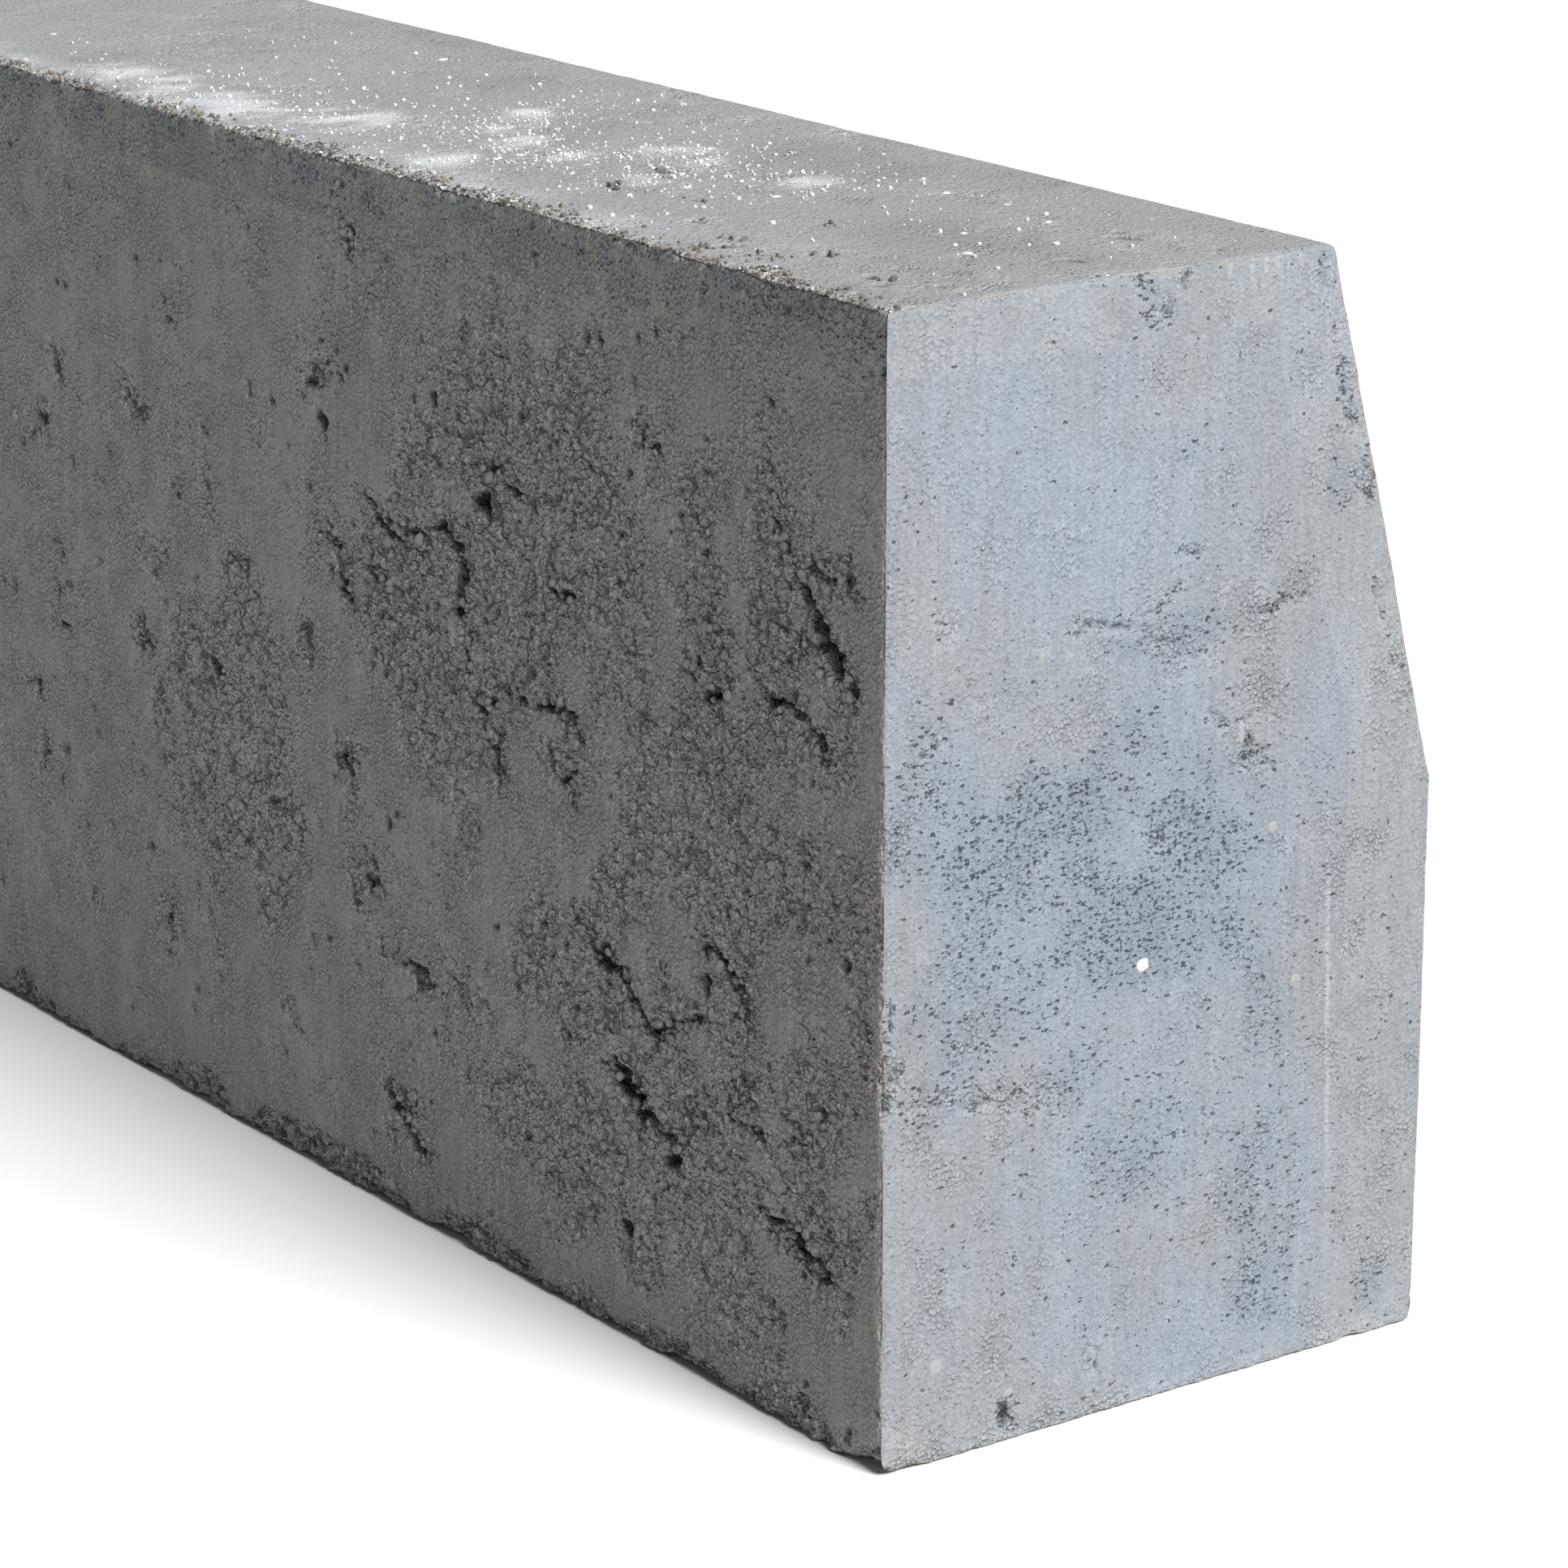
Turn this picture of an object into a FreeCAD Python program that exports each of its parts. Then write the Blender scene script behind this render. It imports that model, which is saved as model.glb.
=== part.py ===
import FreeCAD, Part
import math
import os
import Sketcher

# A precast concrete road kerb, 150 x 250 mm in section and 1 m long, pressed
# from two mixes: a coarse backing mix with a layer of finer facing mix over
# its top and road face. The facing is thickest down the upright road face.
#
# Frame: X along the kerb, Y from the road face (-Y) to the back (+Y), Z up.
# The origin is the middle of the base. Millimetres.

# Driving dimensions: alias, millimetres, meaning.
SIZES = [
    ("kerb_length", 1000, "length, end face to end face"),
    ("kerb_width", 150, "width at the base"),
    ("kerb_height", 250, "height of the back"),
    ("top_width", 118, "flat top measured to the sharp arris, before rounding"),
    ("knee_height", 128, "height where the upright road face starts to batter"),
    ("arris_radius", 2, "slight rounding of the arris between the top and the batter"),
    ("facing_top", 15, "facing mix over the top"),
    ("facing_batter", 20, "facing mix under the batter"),
    ("facing_front", 24, "facing mix behind the upright road face"),
    ("white_pebble", 4, "white pebble in the near end"),
    ("end_stone", 6, "typical stone that surfaces on an end"),
    ("back_stone", 6, "typical stone that surfaces on the back"),
    ("edge_stone", 7, "typical stone bared at a bottom arris"),
    ("grit", 2, "typical white grain in the top face"),
]

# Stones that surface on each face. The two coordinates are the place on the
# face, then come the stone's size against its group's typical size, how long it
# is against its width, and how far it leans in the face, in degrees.
NEAR_END, FAR_END, BACK, TOP = "near_end", "far_end", "back", "top"

WHITE_PEBBLE = [(5, 100, 1.0, 1.4, 10)]  # Y, Z
END_STONES = [  # Y, Z
    (-37, 89, 0.8, 1.5, 60),
    (-20, 147, 0.7, 1.8, 80),
    (-30, 124, 0.9, 1.3, 20),
    (41, 12, 1.0, 1.4, 35),
    (17, 15, 1.1, 1.2, 120),
    (60, 22, 1.2, 1.3, 155),
    (34, 172, 0.6, 1.4, 100),
    (-14, 60, 0.7, 1.6, 40),
]
FAR_END_STONES = [  # Y, Z
    (22, 58, 1.1, 1.3, 15),
    (-31, 40, 0.8, 1.6, 70),
    (48, 118, 0.9, 1.4, 130),
    (-12, 96, 0.7, 1.5, 95),
    (8, 183, 0.8, 1.2, 50),
    (57, 30, 1.2, 1.3, 165),
    (-25, 152, 0.6, 1.7, 25),
    (30, 14, 1.0, 1.4, 110),
]
BACK_STONES = [  # X, Z
    (-352, 72, 0.5, 1.5, 75),
    (-336, 149, 0.9, 1.8, 85),
    (-363, 188, 0.6, 1.4, 30),
    (-437, 93, 0.7, 1.3, 140),
    (-130, 160, 0.8, 1.3, 20),
    (-58, 96, 1.0, 1.4, 115),
    (46, 181, 0.7, 1.5, 60),
    (131, 64, 0.9, 1.3, 10),
    (214, 142, 0.8, 1.6, 95),
    (297, 33, 1.1, 1.2, 150),
    (352, 199, 0.6, 1.5, 45),
    (431, 110, 0.9, 1.4, 80),
]
GRIT = [  # X, Y
    (-463, 26, 1.4, 1.3, 20),
    (-406, -12, 1.1, 1.2, 70),
    (-425, -14, 0.9, 1.4, 110),
    (-446, -9, 0.9, 1.5, 45),
    (-445, 13, 1.0, 1.2, 150),
    (-388, 21, 1.1, 1.6, 60),
    (-347, 11, 1.2, 1.3, 10),
    (-332, 33, 1.0, 1.2, 95),
    (-313, 39, 1.4, 1.4, 35),
    (-272, 52, 0.9, 1.3, 125),
    (-189, -19, 1.5, 1.2, 80),
    (-96, 41, 1.1, 1.5, 15),
    (34, 18, 1.2, 1.3, 100),
    (158, 47, 0.9, 1.4, 55),
    (263, -6, 1.3, 1.2, 140),
    (388, 30, 1.0, 1.5, 75),
]
# Along the bottom arris of the back the stones come one after the other.
EDGE_STONE_PITCH = 96
EDGE_STONE_SHIFTS = (0, 31, -22, 14, -35, 26, 9, -17, 38, -6)
EDGE_STONE_SCALES = (1.0, 0.8, 1.2, 0.9, 1.1)
EDGE_STONE_HEIGHT = 6  # above the base, on the back face
EDGE_STONE_STRETCH = 1.5
EDGE_STONE_LEAN = 0.4  # degrees for each millimetre of its shift

# A stone is faceted. Its rings of corners go inwards from the face it is flush
# with: how deep each is against the stone's depth, and its size against the
# stone's outline.
STONE_RINGS = ((0.0, 0.9), (0.3, 1.0), (0.7, 0.8), (1.0, 0.4))
STONE_CORNERS = 8
STONE_DEPTH = 0.5  # against its width
STONE_UNEVENNESS = 0.12  # how far its corners leave an ellipse
STONE_TURN = 2.4  # radians, spreads that unevenness from corner to corner

CORNER_NEARNESS = 1e-6


def make_sheet(doc):
    """Writes the driving dimensions into a spreadsheet and gives each its alias."""
    sheet = doc.addObject("Spreadsheet::Sheet", "Sizes")
    for row, (alias, value, meaning) in enumerate(SIZES, start=1):
        sheet.set(f"A{row}", meaning)
        sheet.set(f"B{row}", str(value))
        sheet.setAlias(f"B{row}", alias)
    doc.recompute()
    return sheet


def origin_plane(body, role):
    return next(f for f in body.Origin.OriginFeatures if f.Role == role)


def new_sketch(body, name, role):
    """A sketch on one of the body's own origin planes."""
    sketch = body.newObject("Sketcher::SketchObject", name)
    sketch.AttachmentSupport = [(origin_plane(body, role), "")]
    sketch.MapMode = "FlatFace"
    return sketch


def add_loop(sketch, points):
    """Adds the closed polygon through the points, each side joined to the next."""
    corners = [FreeCAD.Vector(y, z, 0) for y, z in points]
    sides = []
    for here, there in zip(corners, corners[1:] + corners[:1]):
        sides.append(sketch.addGeometry(Part.LineSegment(here, there), False))
    for side, following in zip(sides, sides[1:] + sides[:1]):
        sketch.addConstraint(Sketcher.Constraint("Coincident", side, 2, following, 1))
    return sides


def constrain(sketch, *arguments, size=None):
    """Adds a constraint and, for a dimension, binds it to the spreadsheet."""
    if size is None:
        sketch.addConstraint(Sketcher.Constraint(*arguments))
        return
    value = float(sketch.evalExpression(size))
    index = sketch.addConstraint(Sketcher.Constraint(*arguments, value))
    sketch.setExpression(f"Constraints[{index}]", size)


def section_points(sheet):
    """The section's corners in Y and Z: the outside, then where the two mixes meet."""
    half = sheet.kerb_width / 2
    setback = sheet.kerb_width - sheet.top_width
    batter_rise = sheet.kerb_height - sheet.knee_height
    batter_length = math.hypot(setback, batter_rise)
    lean = setback / batter_rise
    joint_top = sheet.kerb_height - sheet.facing_top
    joint_front = sheet.facing_front - half
    # A point of the joint under the batter, square in from the knee.
    square_y = -half + sheet.facing_batter * batter_rise / batter_length
    square_z = sheet.knee_height - sheet.facing_batter * setback / batter_length
    return {
        "front_foot": (-half, 0),
        "knee": (-half, sheet.knee_height),
        "arris": (-half + setback, sheet.kerb_height),
        "back_top": (half, sheet.kerb_height),
        "back_foot": (half, 0),
        "joint_back": (half, joint_top),
        "joint_arris": (square_y + (joint_top - square_z) * lean, joint_top),
        "joint_knee": (joint_front, square_z + (joint_front - square_y) / lean),
        "joint_foot": (joint_front, 0),
    }


def pad_along_kerb(body, sketch, name):
    pad = body.newObject("PartDesign::Pad", name)
    pad.Profile = sketch
    pad.Midplane = True
    pad.setExpression("Length", "Sizes.kerb_length")
    sketch.Visibility = False
    return pad


def edge_along_kerb(shape, y, z):
    """The name of the edge along X that lies at y, z."""
    for number, edge in enumerate(shape.Edges, start=1):
        ends = [vertex.Point for vertex in edge.Vertexes]
        off = [math.hypot(point.y - y, point.z - z) for point in ends]
        if len(ends) == 2 and max(off) < CORNER_NEARNESS:
            return f"Edge{number}"
    raise ValueError(f"no edge along the kerb at y={y}, z={z}")


def make_facing_blank(doc, corners):
    """Facing mix: a bent layer over the top, the batter and the upright road face."""
    body = doc.addObject("PartDesign::Body", "FacingBlank")
    sketch = new_sketch(body, "FacingSection", "YZ_Plane")
    names = ("front_foot", "knee", "arris", "back_top",
             "joint_back", "joint_arris", "joint_knee", "joint_foot")
    front, batter, top, back, under_top, under_batter, inner_front, foot = add_loop(
        sketch, [corners[name] for name in names])
    for side in (front, back, inner_front):
        constrain(sketch, "Vertical", side)
    for side in (top, under_top, foot):
        constrain(sketch, "Horizontal", side)
    constrain(sketch, "Parallel", batter, under_batter)
    constrain(sketch, "PointOnObject", front, 1, -1)
    constrain(sketch, "DistanceX", front, 1, -1, 1, size="Sizes.kerb_width / 2")
    constrain(sketch, "DistanceY", front, 1, front, 2, size="Sizes.knee_height")
    constrain(sketch, "DistanceY", front, 1, batter, 2, size="Sizes.kerb_height")
    constrain(sketch, "DistanceX", front, 1, batter, 2,
              size="Sizes.kerb_width - Sizes.top_width")
    constrain(sketch, "DistanceX", front, 1, top, 2, size="Sizes.kerb_width")
    constrain(sketch, "DistanceY", back, 2, back, 1, size="Sizes.facing_top")
    constrain(sketch, "DistanceX", foot, 2, foot, 1, size="Sizes.facing_front")
    constrain(sketch, "Distance", under_batter, 1, batter, size="Sizes.facing_batter")
    pad = pad_along_kerb(body, sketch, "FacingPad")
    doc.recompute()
    arris = body.newObject("PartDesign::Fillet", "FacingArris")
    arris.Base = (pad, [edge_along_kerb(pad.Shape, *corners["arris"])])
    arris.setExpression("Radius", "Sizes.arris_radius")
    doc.recompute()
    return body


def make_backing_blank(doc, corners):
    """Backing mix: the block behind and under the facing, down to the base."""
    body = doc.addObject("PartDesign::Body", "BackingBlank")
    sketch = new_sketch(body, "BackingSection", "YZ_Plane")
    names = ("joint_foot", "back_foot", "joint_back", "joint_arris", "joint_knee")
    base, back, under_top, under_batter, inner_front = add_loop(
        sketch, [corners[name] for name in names])
    ends = [FreeCAD.Vector(*corners[name], 0) for name in ("knee", "arris")]
    batter = sketch.addGeometry(Part.LineSegment(*ends), True)
    for side in (base, under_top):
        constrain(sketch, "Horizontal", side)
    for side in (back, inner_front):
        constrain(sketch, "Vertical", side)
    constrain(sketch, "PointOnObject", base, 1, -1)
    constrain(sketch, "DistanceX", base, 1, -1, 1,
              size="Sizes.kerb_width / 2 - Sizes.facing_front")
    constrain(sketch, "DistanceX", -1, 1, base, 2, size="Sizes.kerb_width / 2")
    constrain(sketch, "DistanceY", back, 1, back, 2,
              size="Sizes.kerb_height - Sizes.facing_top")
    constrain(sketch, "DistanceX", batter, 1, -1, 1, size="Sizes.kerb_width / 2")
    constrain(sketch, "DistanceY", -1, 1, batter, 1, size="Sizes.knee_height")
    constrain(sketch, "DistanceX", batter, 1, batter, 2,
              size="Sizes.kerb_width - Sizes.top_width")
    constrain(sketch, "DistanceY", -1, 1, batter, 2, size="Sizes.kerb_height")
    constrain(sketch, "Parallel", batter, under_batter)
    constrain(sketch, "Distance", under_batter, 2, batter, size="Sizes.facing_batter")
    pad_along_kerb(body, sketch, "BackingPad")
    doc.recompute()
    return body


def face_frame(face, sheet):
    """Where a face lies: its outward normal, its first direction and its centre plane."""
    x, y, z = (FreeCAD.Vector(*axis) for axis in ((1, 0, 0), (0, 1, 0), (0, 0, 1)))
    return {
        NEAR_END: (x.negative(), y, x * (-sheet.kerb_length / 2)),
        FAR_END: (x, y, x * (sheet.kerb_length / 2)),
        BACK: (y, x, y * (sheet.kerb_width / 2)),
        TOP: (z, x, z * sheet.kerb_height),
    }[face]


def spot_on_face(face, first, second):
    """The two coordinates that a stone is placed by, as a vector."""
    if face in (NEAR_END, FAR_END):
        return FreeCAD.Vector(0, first, second)
    if face == BACK:
        return FreeCAD.Vector(first, 0, second)
    return FreeCAD.Vector(first, second, 0)


def stone_shape(length, width, number):
    """A faceted stone whose flat side is at Z = 0 and whose body lies below it."""
    rings = []
    for depth, size in STONE_RINGS:
        ring = []
        for corner in range(STONE_CORNERS):
            angle = math.tau * corner / STONE_CORNERS
            swell = 1 + STONE_UNEVENNESS * math.sin(STONE_TURN * corner + number)
            ring.append(FreeCAD.Vector(
                length / 2 * size * swell * math.cos(angle),
                width / 2 * size * swell * math.sin(angle),
                -depth * STONE_DEPTH * width,
            ))
        rings.append(ring)
    faces = [Part.Face(Part.makePolygon(ring + ring[:1])) for ring in (rings[0], rings[-1])]
    for upper, lower in zip(rings, rings[1:]):
        for here in range(STONE_CORNERS):
            there = (here + 1) % STONE_CORNERS
            for corners in (
                (upper[here], upper[there], lower[here]),
                (upper[there], lower[there], lower[here]),
            ):
                faces.append(Part.Face(Part.makePolygon(corners + corners[:1])))
    solid = Part.makeSolid(Part.makeShell(faces))
    if solid.Volume < 0:
        solid.reverse()
    return solid


def node_name(label):
    return "".join(word.capitalize() for word in label.split("_"))


def make_stones(doc, sheet, label, face, places, typical):
    """A node of separate stones, each flush with the face that it surfaces on."""
    normal, along, plane = face_frame(face, sheet)
    to_face = FreeCAD.Rotation(along, normal.cross(along), normal, "ZXY")
    stones = []
    for number, (first, second, scale, stretch, lean) in enumerate(places, start=1):
        width = getattr(sheet, typical) * scale
        stone = doc.addObject("Part::Feature", f"{node_name(label)}Stone{number}")
        stone.Shape = stone_shape(width * stretch, width, number)
        in_face = FreeCAD.Rotation(FreeCAD.Vector(0, 0, 1), lean)
        centre = plane + spot_on_face(face, first, second)
        stone.Placement = FreeCAD.Placement(centre, to_face.multiply(in_face))
        stones.append(stone)
    group = doc.addObject("Part::Compound", node_name(label))
    group.Links = stones
    group.Label = label
    doc.recompute()
    return group


def edge_stone_places():
    """Stones along the bottom arris of the back, unevenly spaced."""
    middle = (len(EDGE_STONE_SHIFTS) - 1) / 2
    places = []
    for number, shift in enumerate(EDGE_STONE_SHIFTS):
        x = (number - middle) * EDGE_STONE_PITCH + shift
        scale = EDGE_STONE_SCALES[number % len(EDGE_STONE_SCALES)]
        lean = EDGE_STONE_LEAN * shift
        places.append((x, EDGE_STONE_HEIGHT, scale, EDGE_STONE_STRETCH, lean))
    return places


def cut_pockets(doc, label, blank, groups):
    """The concrete, with a pocket that fits each of its stones exactly."""
    pockets = doc.addObject("Part::Compound", f"{node_name(label)}Pockets")
    pockets.Links = groups
    concrete = doc.addObject("Part::Cut", node_name(label))
    concrete.Base = blank
    concrete.Tool = pockets
    concrete.Label = label
    doc.recompute()
    return concrete


def check_document(doc):
    for obj in doc.Objects:
        if {"Invalid", "Error"} & set(obj.State):
            raise RuntimeError(f"{obj.Name} failed: {obj.State}")


def check_nodes(nodes, sheet):
    """Every node is sound, and together they fill the kerb's section exactly."""
    for node in nodes:
        shape = node.Shape
        if shape.isNull() or not shape.isValid() or not shape.Solids:
            raise RuntimeError(f"{node.Label} has a faulty shape")
        print(f"{node.Label}: {len(shape.Solids)} solid(s), {shape.Volume:.1f} mm3")
    setback = sheet.kerb_width - sheet.top_width
    batter_rise = sheet.kerb_height - sheet.knee_height
    arris_turn = math.atan2(batter_rise, setback)
    # What rounding takes off a corner whose sides turn by arris_turn.
    rounded_off = sheet.arris_radius ** 2 * (math.tan(arris_turn / 2) - arris_turn / 2)
    section = sheet.kerb_width * sheet.kerb_height - setback * batter_rise / 2 - rounded_off
    expected = section * sheet.kerb_length
    total = sum(node.Shape.Volume for node in nodes)
    print(f"total {total:.0f} mm3, expected {expected:.0f} mm3")
    if abs(total - expected) > expected * 1e-4:
        raise RuntimeError("the nodes do not fill the kerb")


def write_nodes(nodes):
    os.makedirs("parts", exist_ok=True)
    for node in nodes:
        node.Shape.exportStep(os.path.join("parts", f"{node.Label}.step"))


def main():
    doc = FreeCAD.newDocument("RoadKerb")
    sheet = make_sheet(doc)
    corners = section_points(sheet)
    facing_blank = make_facing_blank(doc, corners)
    backing_blank = make_backing_blank(doc, corners)

    in_backing = [make_stones(doc, sheet, *group) for group in (
        ("white_end_pebble", NEAR_END, WHITE_PEBBLE, "white_pebble"),
        ("end_face_stones", NEAR_END, END_STONES, "end_stone"),
        ("far_end_stones", FAR_END, FAR_END_STONES, "end_stone"),
        ("back_face_stones", BACK, BACK_STONES, "back_stone"),
        ("base_edge_stones", BACK, edge_stone_places(), "edge_stone"),
    )]
    in_facing = [make_stones(doc, sheet, "top_face_grit", TOP, GRIT, "grit")]
    nodes = [
        *in_backing,
        *in_facing,
        cut_pockets(doc, "backing_concrete", backing_blank, in_backing),
        cut_pockets(doc, "facing_concrete", facing_blank, in_facing),
    ]

    check_document(doc)
    check_nodes(nodes, sheet)
    write_nodes(nodes)


main()
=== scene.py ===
import functools
import math

import bmesh
import bpy
import numpy as np
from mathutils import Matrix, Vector


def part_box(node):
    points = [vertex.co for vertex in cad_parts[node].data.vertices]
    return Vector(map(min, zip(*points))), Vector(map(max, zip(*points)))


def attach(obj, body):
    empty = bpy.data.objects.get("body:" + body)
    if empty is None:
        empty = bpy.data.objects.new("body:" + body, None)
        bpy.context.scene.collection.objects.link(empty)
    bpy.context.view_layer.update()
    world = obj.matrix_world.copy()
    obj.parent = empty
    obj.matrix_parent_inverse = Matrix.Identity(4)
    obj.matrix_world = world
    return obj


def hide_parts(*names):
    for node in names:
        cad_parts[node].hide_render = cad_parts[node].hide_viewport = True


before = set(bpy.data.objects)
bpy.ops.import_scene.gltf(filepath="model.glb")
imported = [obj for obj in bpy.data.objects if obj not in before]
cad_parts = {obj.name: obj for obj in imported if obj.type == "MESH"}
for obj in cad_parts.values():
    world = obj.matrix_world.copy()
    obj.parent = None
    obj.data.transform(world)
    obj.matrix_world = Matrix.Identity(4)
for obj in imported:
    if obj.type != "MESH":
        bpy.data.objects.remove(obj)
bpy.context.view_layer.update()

# A precast concrete road kerb. Its two mixes are rebuilt as closed, finely
# gridded shells in the frame of the CAD model, with the tears, crumbs, pits and
# worn arrises of pressed concrete as real geometry. Work is in millimetres and
# turns to metres when a mesh is made.

MM = 0.001


def node_box(node):
    """The lowest and highest corner of a CAD node, in millimetres."""
    return [np.array(corner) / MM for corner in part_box(node)]


# The section, read from the frame. The knee, the setback of the batter, its tight
# arris and the facing's thickness there aren't sides of a box.
FACING_LOW, FACING_HIGH = node_box("facing_concrete")
BACKING_LOW, BACKING_HIGH = node_box("backing_concrete")
NEAR_X, FRONT_Y = FACING_LOW[:2]
FAR_X, BACK_Y, TOP_Z = FACING_HIGH
JOINT_Y, JOINT_Z = BACKING_LOW[1], BACKING_HIGH[2]  # where the two mixes meet
KNEE_Z = 128.0
SETBACK = 32.0
ARRIS_RADIUS = 2.0
FACING_UNDER_BATTER = 20.0

# How finely the shells are gridded: the near part, the middle and the rest.
NEAR_UNTIL, MIDDLE_UNTIL = -280.0, -80.0
FINE, MEDIUM, COARSE = 0.75, 1.25, 2.0
MAP_STEP = 0.5
# How far round a tear the surface is broken, on the back and on the ends, and the
# sizes of the crumbs and of the sand it breaks into.
TEAR_HALO, END_TEAR_HALO = 7.0, 2.6
CRUMB, COARSE_SAND = 2.9, 1.7
FOOT_FADE = 7.0

rng = np.random.default_rng(41)


# ---------------------------------------------------------------- noise on maps

def smooth(t):
    t = np.clip(t, 0.0, 1.0)
    return t * t * (3.0 - 2.0 * t)


def lattice_steps(values, cell):
    """Which lattice cell each value is in, and how far through it, eased."""
    scaled = (values - values[0]) / cell
    whole = np.floor(scaled).astype(int)
    return whole, smooth(scaled - whole)


# The insides of pits and tears, which the material paints with shade; lime bloom, which on the ends
# also carries a painted cool tint of the sky light; lime dust, broken-up crumbs, dark pores; and the
# closed dry skin of the facing, which also paints the top and the road face lighter than the back's
# painted shade.
MARKS = ("pit_shade", "bloom_and_sky_tint", "dust", "rough", "speckle", "skin")


class FaceMap:
    """What the surface of one face does, as arrays over its two directions u and v.

    sink is how far the surface lies below the ideal plane, in mm. Each mark goes
    from 0 to 1, and the material reads it."""

    def __init__(self, u_range, v_range):
        self.u = np.arange(u_range[0], u_range[1] + MAP_STEP, MAP_STEP)
        self.v = np.arange(v_range[0], v_range[1] + MAP_STEP, MAP_STEP)
        self.shape = (len(self.u), len(self.v))
        self.sink = np.zeros(self.shape)
        self.pits = np.zeros(self.shape)
        self.broken = np.zeros(self.shape)  # round the tears
        self.marks = {name: np.zeros(self.shape) for name in MARKS}
        # How far tears wander off their paths along u and v, and where they swell.
        self.warp = [2.0 * self.noise(4.5) + 1.2 * self.noise(1.8) for _ in range(2)]
        self.swell = self.fractal(6.0, octaves=2)
        nearest, gap = self.cells(CRUMB)
        self.crumb = smooth(gap * 2.6) * (1 - 0.4 * np.minimum(nearest, 1.0) ** 2)

    def noise(self, cell_u, cell_v=None):
        """Smooth random values from -1 to 1, one for each lattice cell."""
        iu, fu = lattice_steps(self.u, cell_u)
        iv, fv = lattice_steps(self.v, cell_v or cell_u)
        grid = rng.uniform(-1, 1, (iu[-1] + 2, iv[-1] + 2))
        rows = grid[iu] * (1 - fu)[:, None] + grid[iu + 1] * fu[:, None]
        return rows[:, iv] * (1 - fv) + rows[:, iv + 1] * fv

    def fractal(self, cell_u, cell_v=None, octaves=3):
        total, weight = 0.0, 0.0
        for octave in range(octaves):
            share = 0.5 ** octave
            total = total + share * self.noise(cell_u * share, (cell_v or cell_u) * share)
            weight += share
        return total / weight * 1.6

    def cells(self, size):
        """For a scatter of grains: distance to the nearest one and to the gap between
        it and the next, both against the grain size."""
        iu, iv = ((axis - axis[0]) / size for axis in (self.u, self.v))
        whole_u, whole_v = np.floor(iu).astype(int), np.floor(iv).astype(int)
        jitter = rng.random((whole_u[-1] + 4, whole_v[-1] + 4, 2))
        nearest = np.full(self.shape, 9.0)
        second = np.full(self.shape, 9.0)
        for du in (-1, 0, 1):
            for dv in (-1, 0, 1):
                cu, cv = whole_u + du, whole_v + dv
                offset = jitter[(cu + 1)[:, None], (cv + 1)[None, :]]
                away = np.hypot(
                    (cu - iu)[:, None] + offset[..., 0], (cv - iv)[None, :] + offset[..., 1]
                )
                second = np.minimum(second, np.maximum(nearest, away))
                nearest = np.minimum(nearest, away)
        return nearest, second - nearest

    def spot(self, u, v, radius_u, radius_v, slant=0.0):
        """1 at the middle of a soft spot and 0 outside it; slant shears it along u."""
        dv = (self.v - v)[None, :]
        du = (self.u - u)[:, None] - slant * dv
        return np.clip(1 - (du / radius_u) ** 2 - (dv / radius_v) ** 2, 0, 1)

    def spots(self, places):
        total = np.zeros(self.shape)
        for place in places:
            total = np.maximum(total, self.spot(*place))
        return total

    def below(self, height):
        """1 at the foot of the face, fading out up to a height that may be uneven."""
        return smooth((height - self.v[None, :]) / FOOT_FADE)

    def window(self, low, high):
        """The part of the arrays between two corners."""
        return tuple(
            slice(*np.searchsorted(axis, ends))
            for axis, ends in zip((self.u, self.v), zip(low, high))
        )

    def pit(self, u, v, radius, depth, stretch=1.0, lean=0.0):
        """One ragged pit, longer along lean by stretch."""
        reach = radius * stretch * 1.5
        at = self.window((u - reach, v - reach), (u + reach, v + reach))
        du = (self.u[at[0]] - u)[:, None]
        dv = (self.v[at[1]] - v)[None, :]
        if du.size == 0 or dv.size == 0:
            return
        along = (du * math.cos(lean) + dv * math.sin(lean)) / stretch
        across = dv * math.cos(lean) - du * math.sin(lean)
        angle = np.arctan2(across, along)
        phase = rng.uniform(0, math.tau, 2)
        edge = 1 + 0.22 * np.sin(2 * angle + phase[0]) + 0.16 * np.sin(3 * angle + phase[1])
        inside = np.clip(1 - (np.hypot(along, across) / (radius * edge)) ** 2, 0, 1)
        self.pits[at] = np.maximum(self.pits[at], depth * inside ** 0.6)

    def tear(self, path, width, depth, halo_width=TEAR_HALO):
        """A crumbly crack along a path. It wanders off the path, closes up in places
        and has crumbs standing in it."""
        path = np.array(path, float)
        reach = width + halo_width
        at = self.window(path.min(axis=0) - reach, path.max(axis=0) + reach)
        u = self.u[at[0], None] + self.warp[0][at]
        v = self.v[None, at[1]] + self.warp[1][at]
        if u.size == 0:
            return
        nearest = np.full(u.shape, 99.0)
        taper = np.zeros(u.shape)
        joints = len(path) - 1
        for number, (start, end) in enumerate(zip(path[:-1], path[1:])):
            along = end - start
            share = ((u - start[0]) * along[0] + (v - start[1]) * along[1]) / (along @ along)
            share = np.clip(share, 0, 1)
            off = np.hypot(u - start[0] - share * along[0], v - start[1] - share * along[1])
            closer = off < nearest
            nearest = np.where(closer, off, nearest)
            taper = np.where(closer, np.sin(math.pi * (number + share) / joints), taper)
        half = width * (0.44 + 0.34 * self.swell[at]) * (0.35 + 0.65 * taper ** 0.5)
        inside = np.clip(1 - (nearest / np.maximum(half, 0.01)) ** 2, 0, 1) ** 0.6
        torn = depth * inside * (1 - 0.55 * self.crumb[at])
        self.pits[at] = np.maximum(self.pits[at], torn)
        halo = smooth(1.15 - (nearest - half) / halo_width) * (0.6 + 0.4 * self.swell[at])
        self.broken[at] = np.maximum(self.broken[at], halo)

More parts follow.
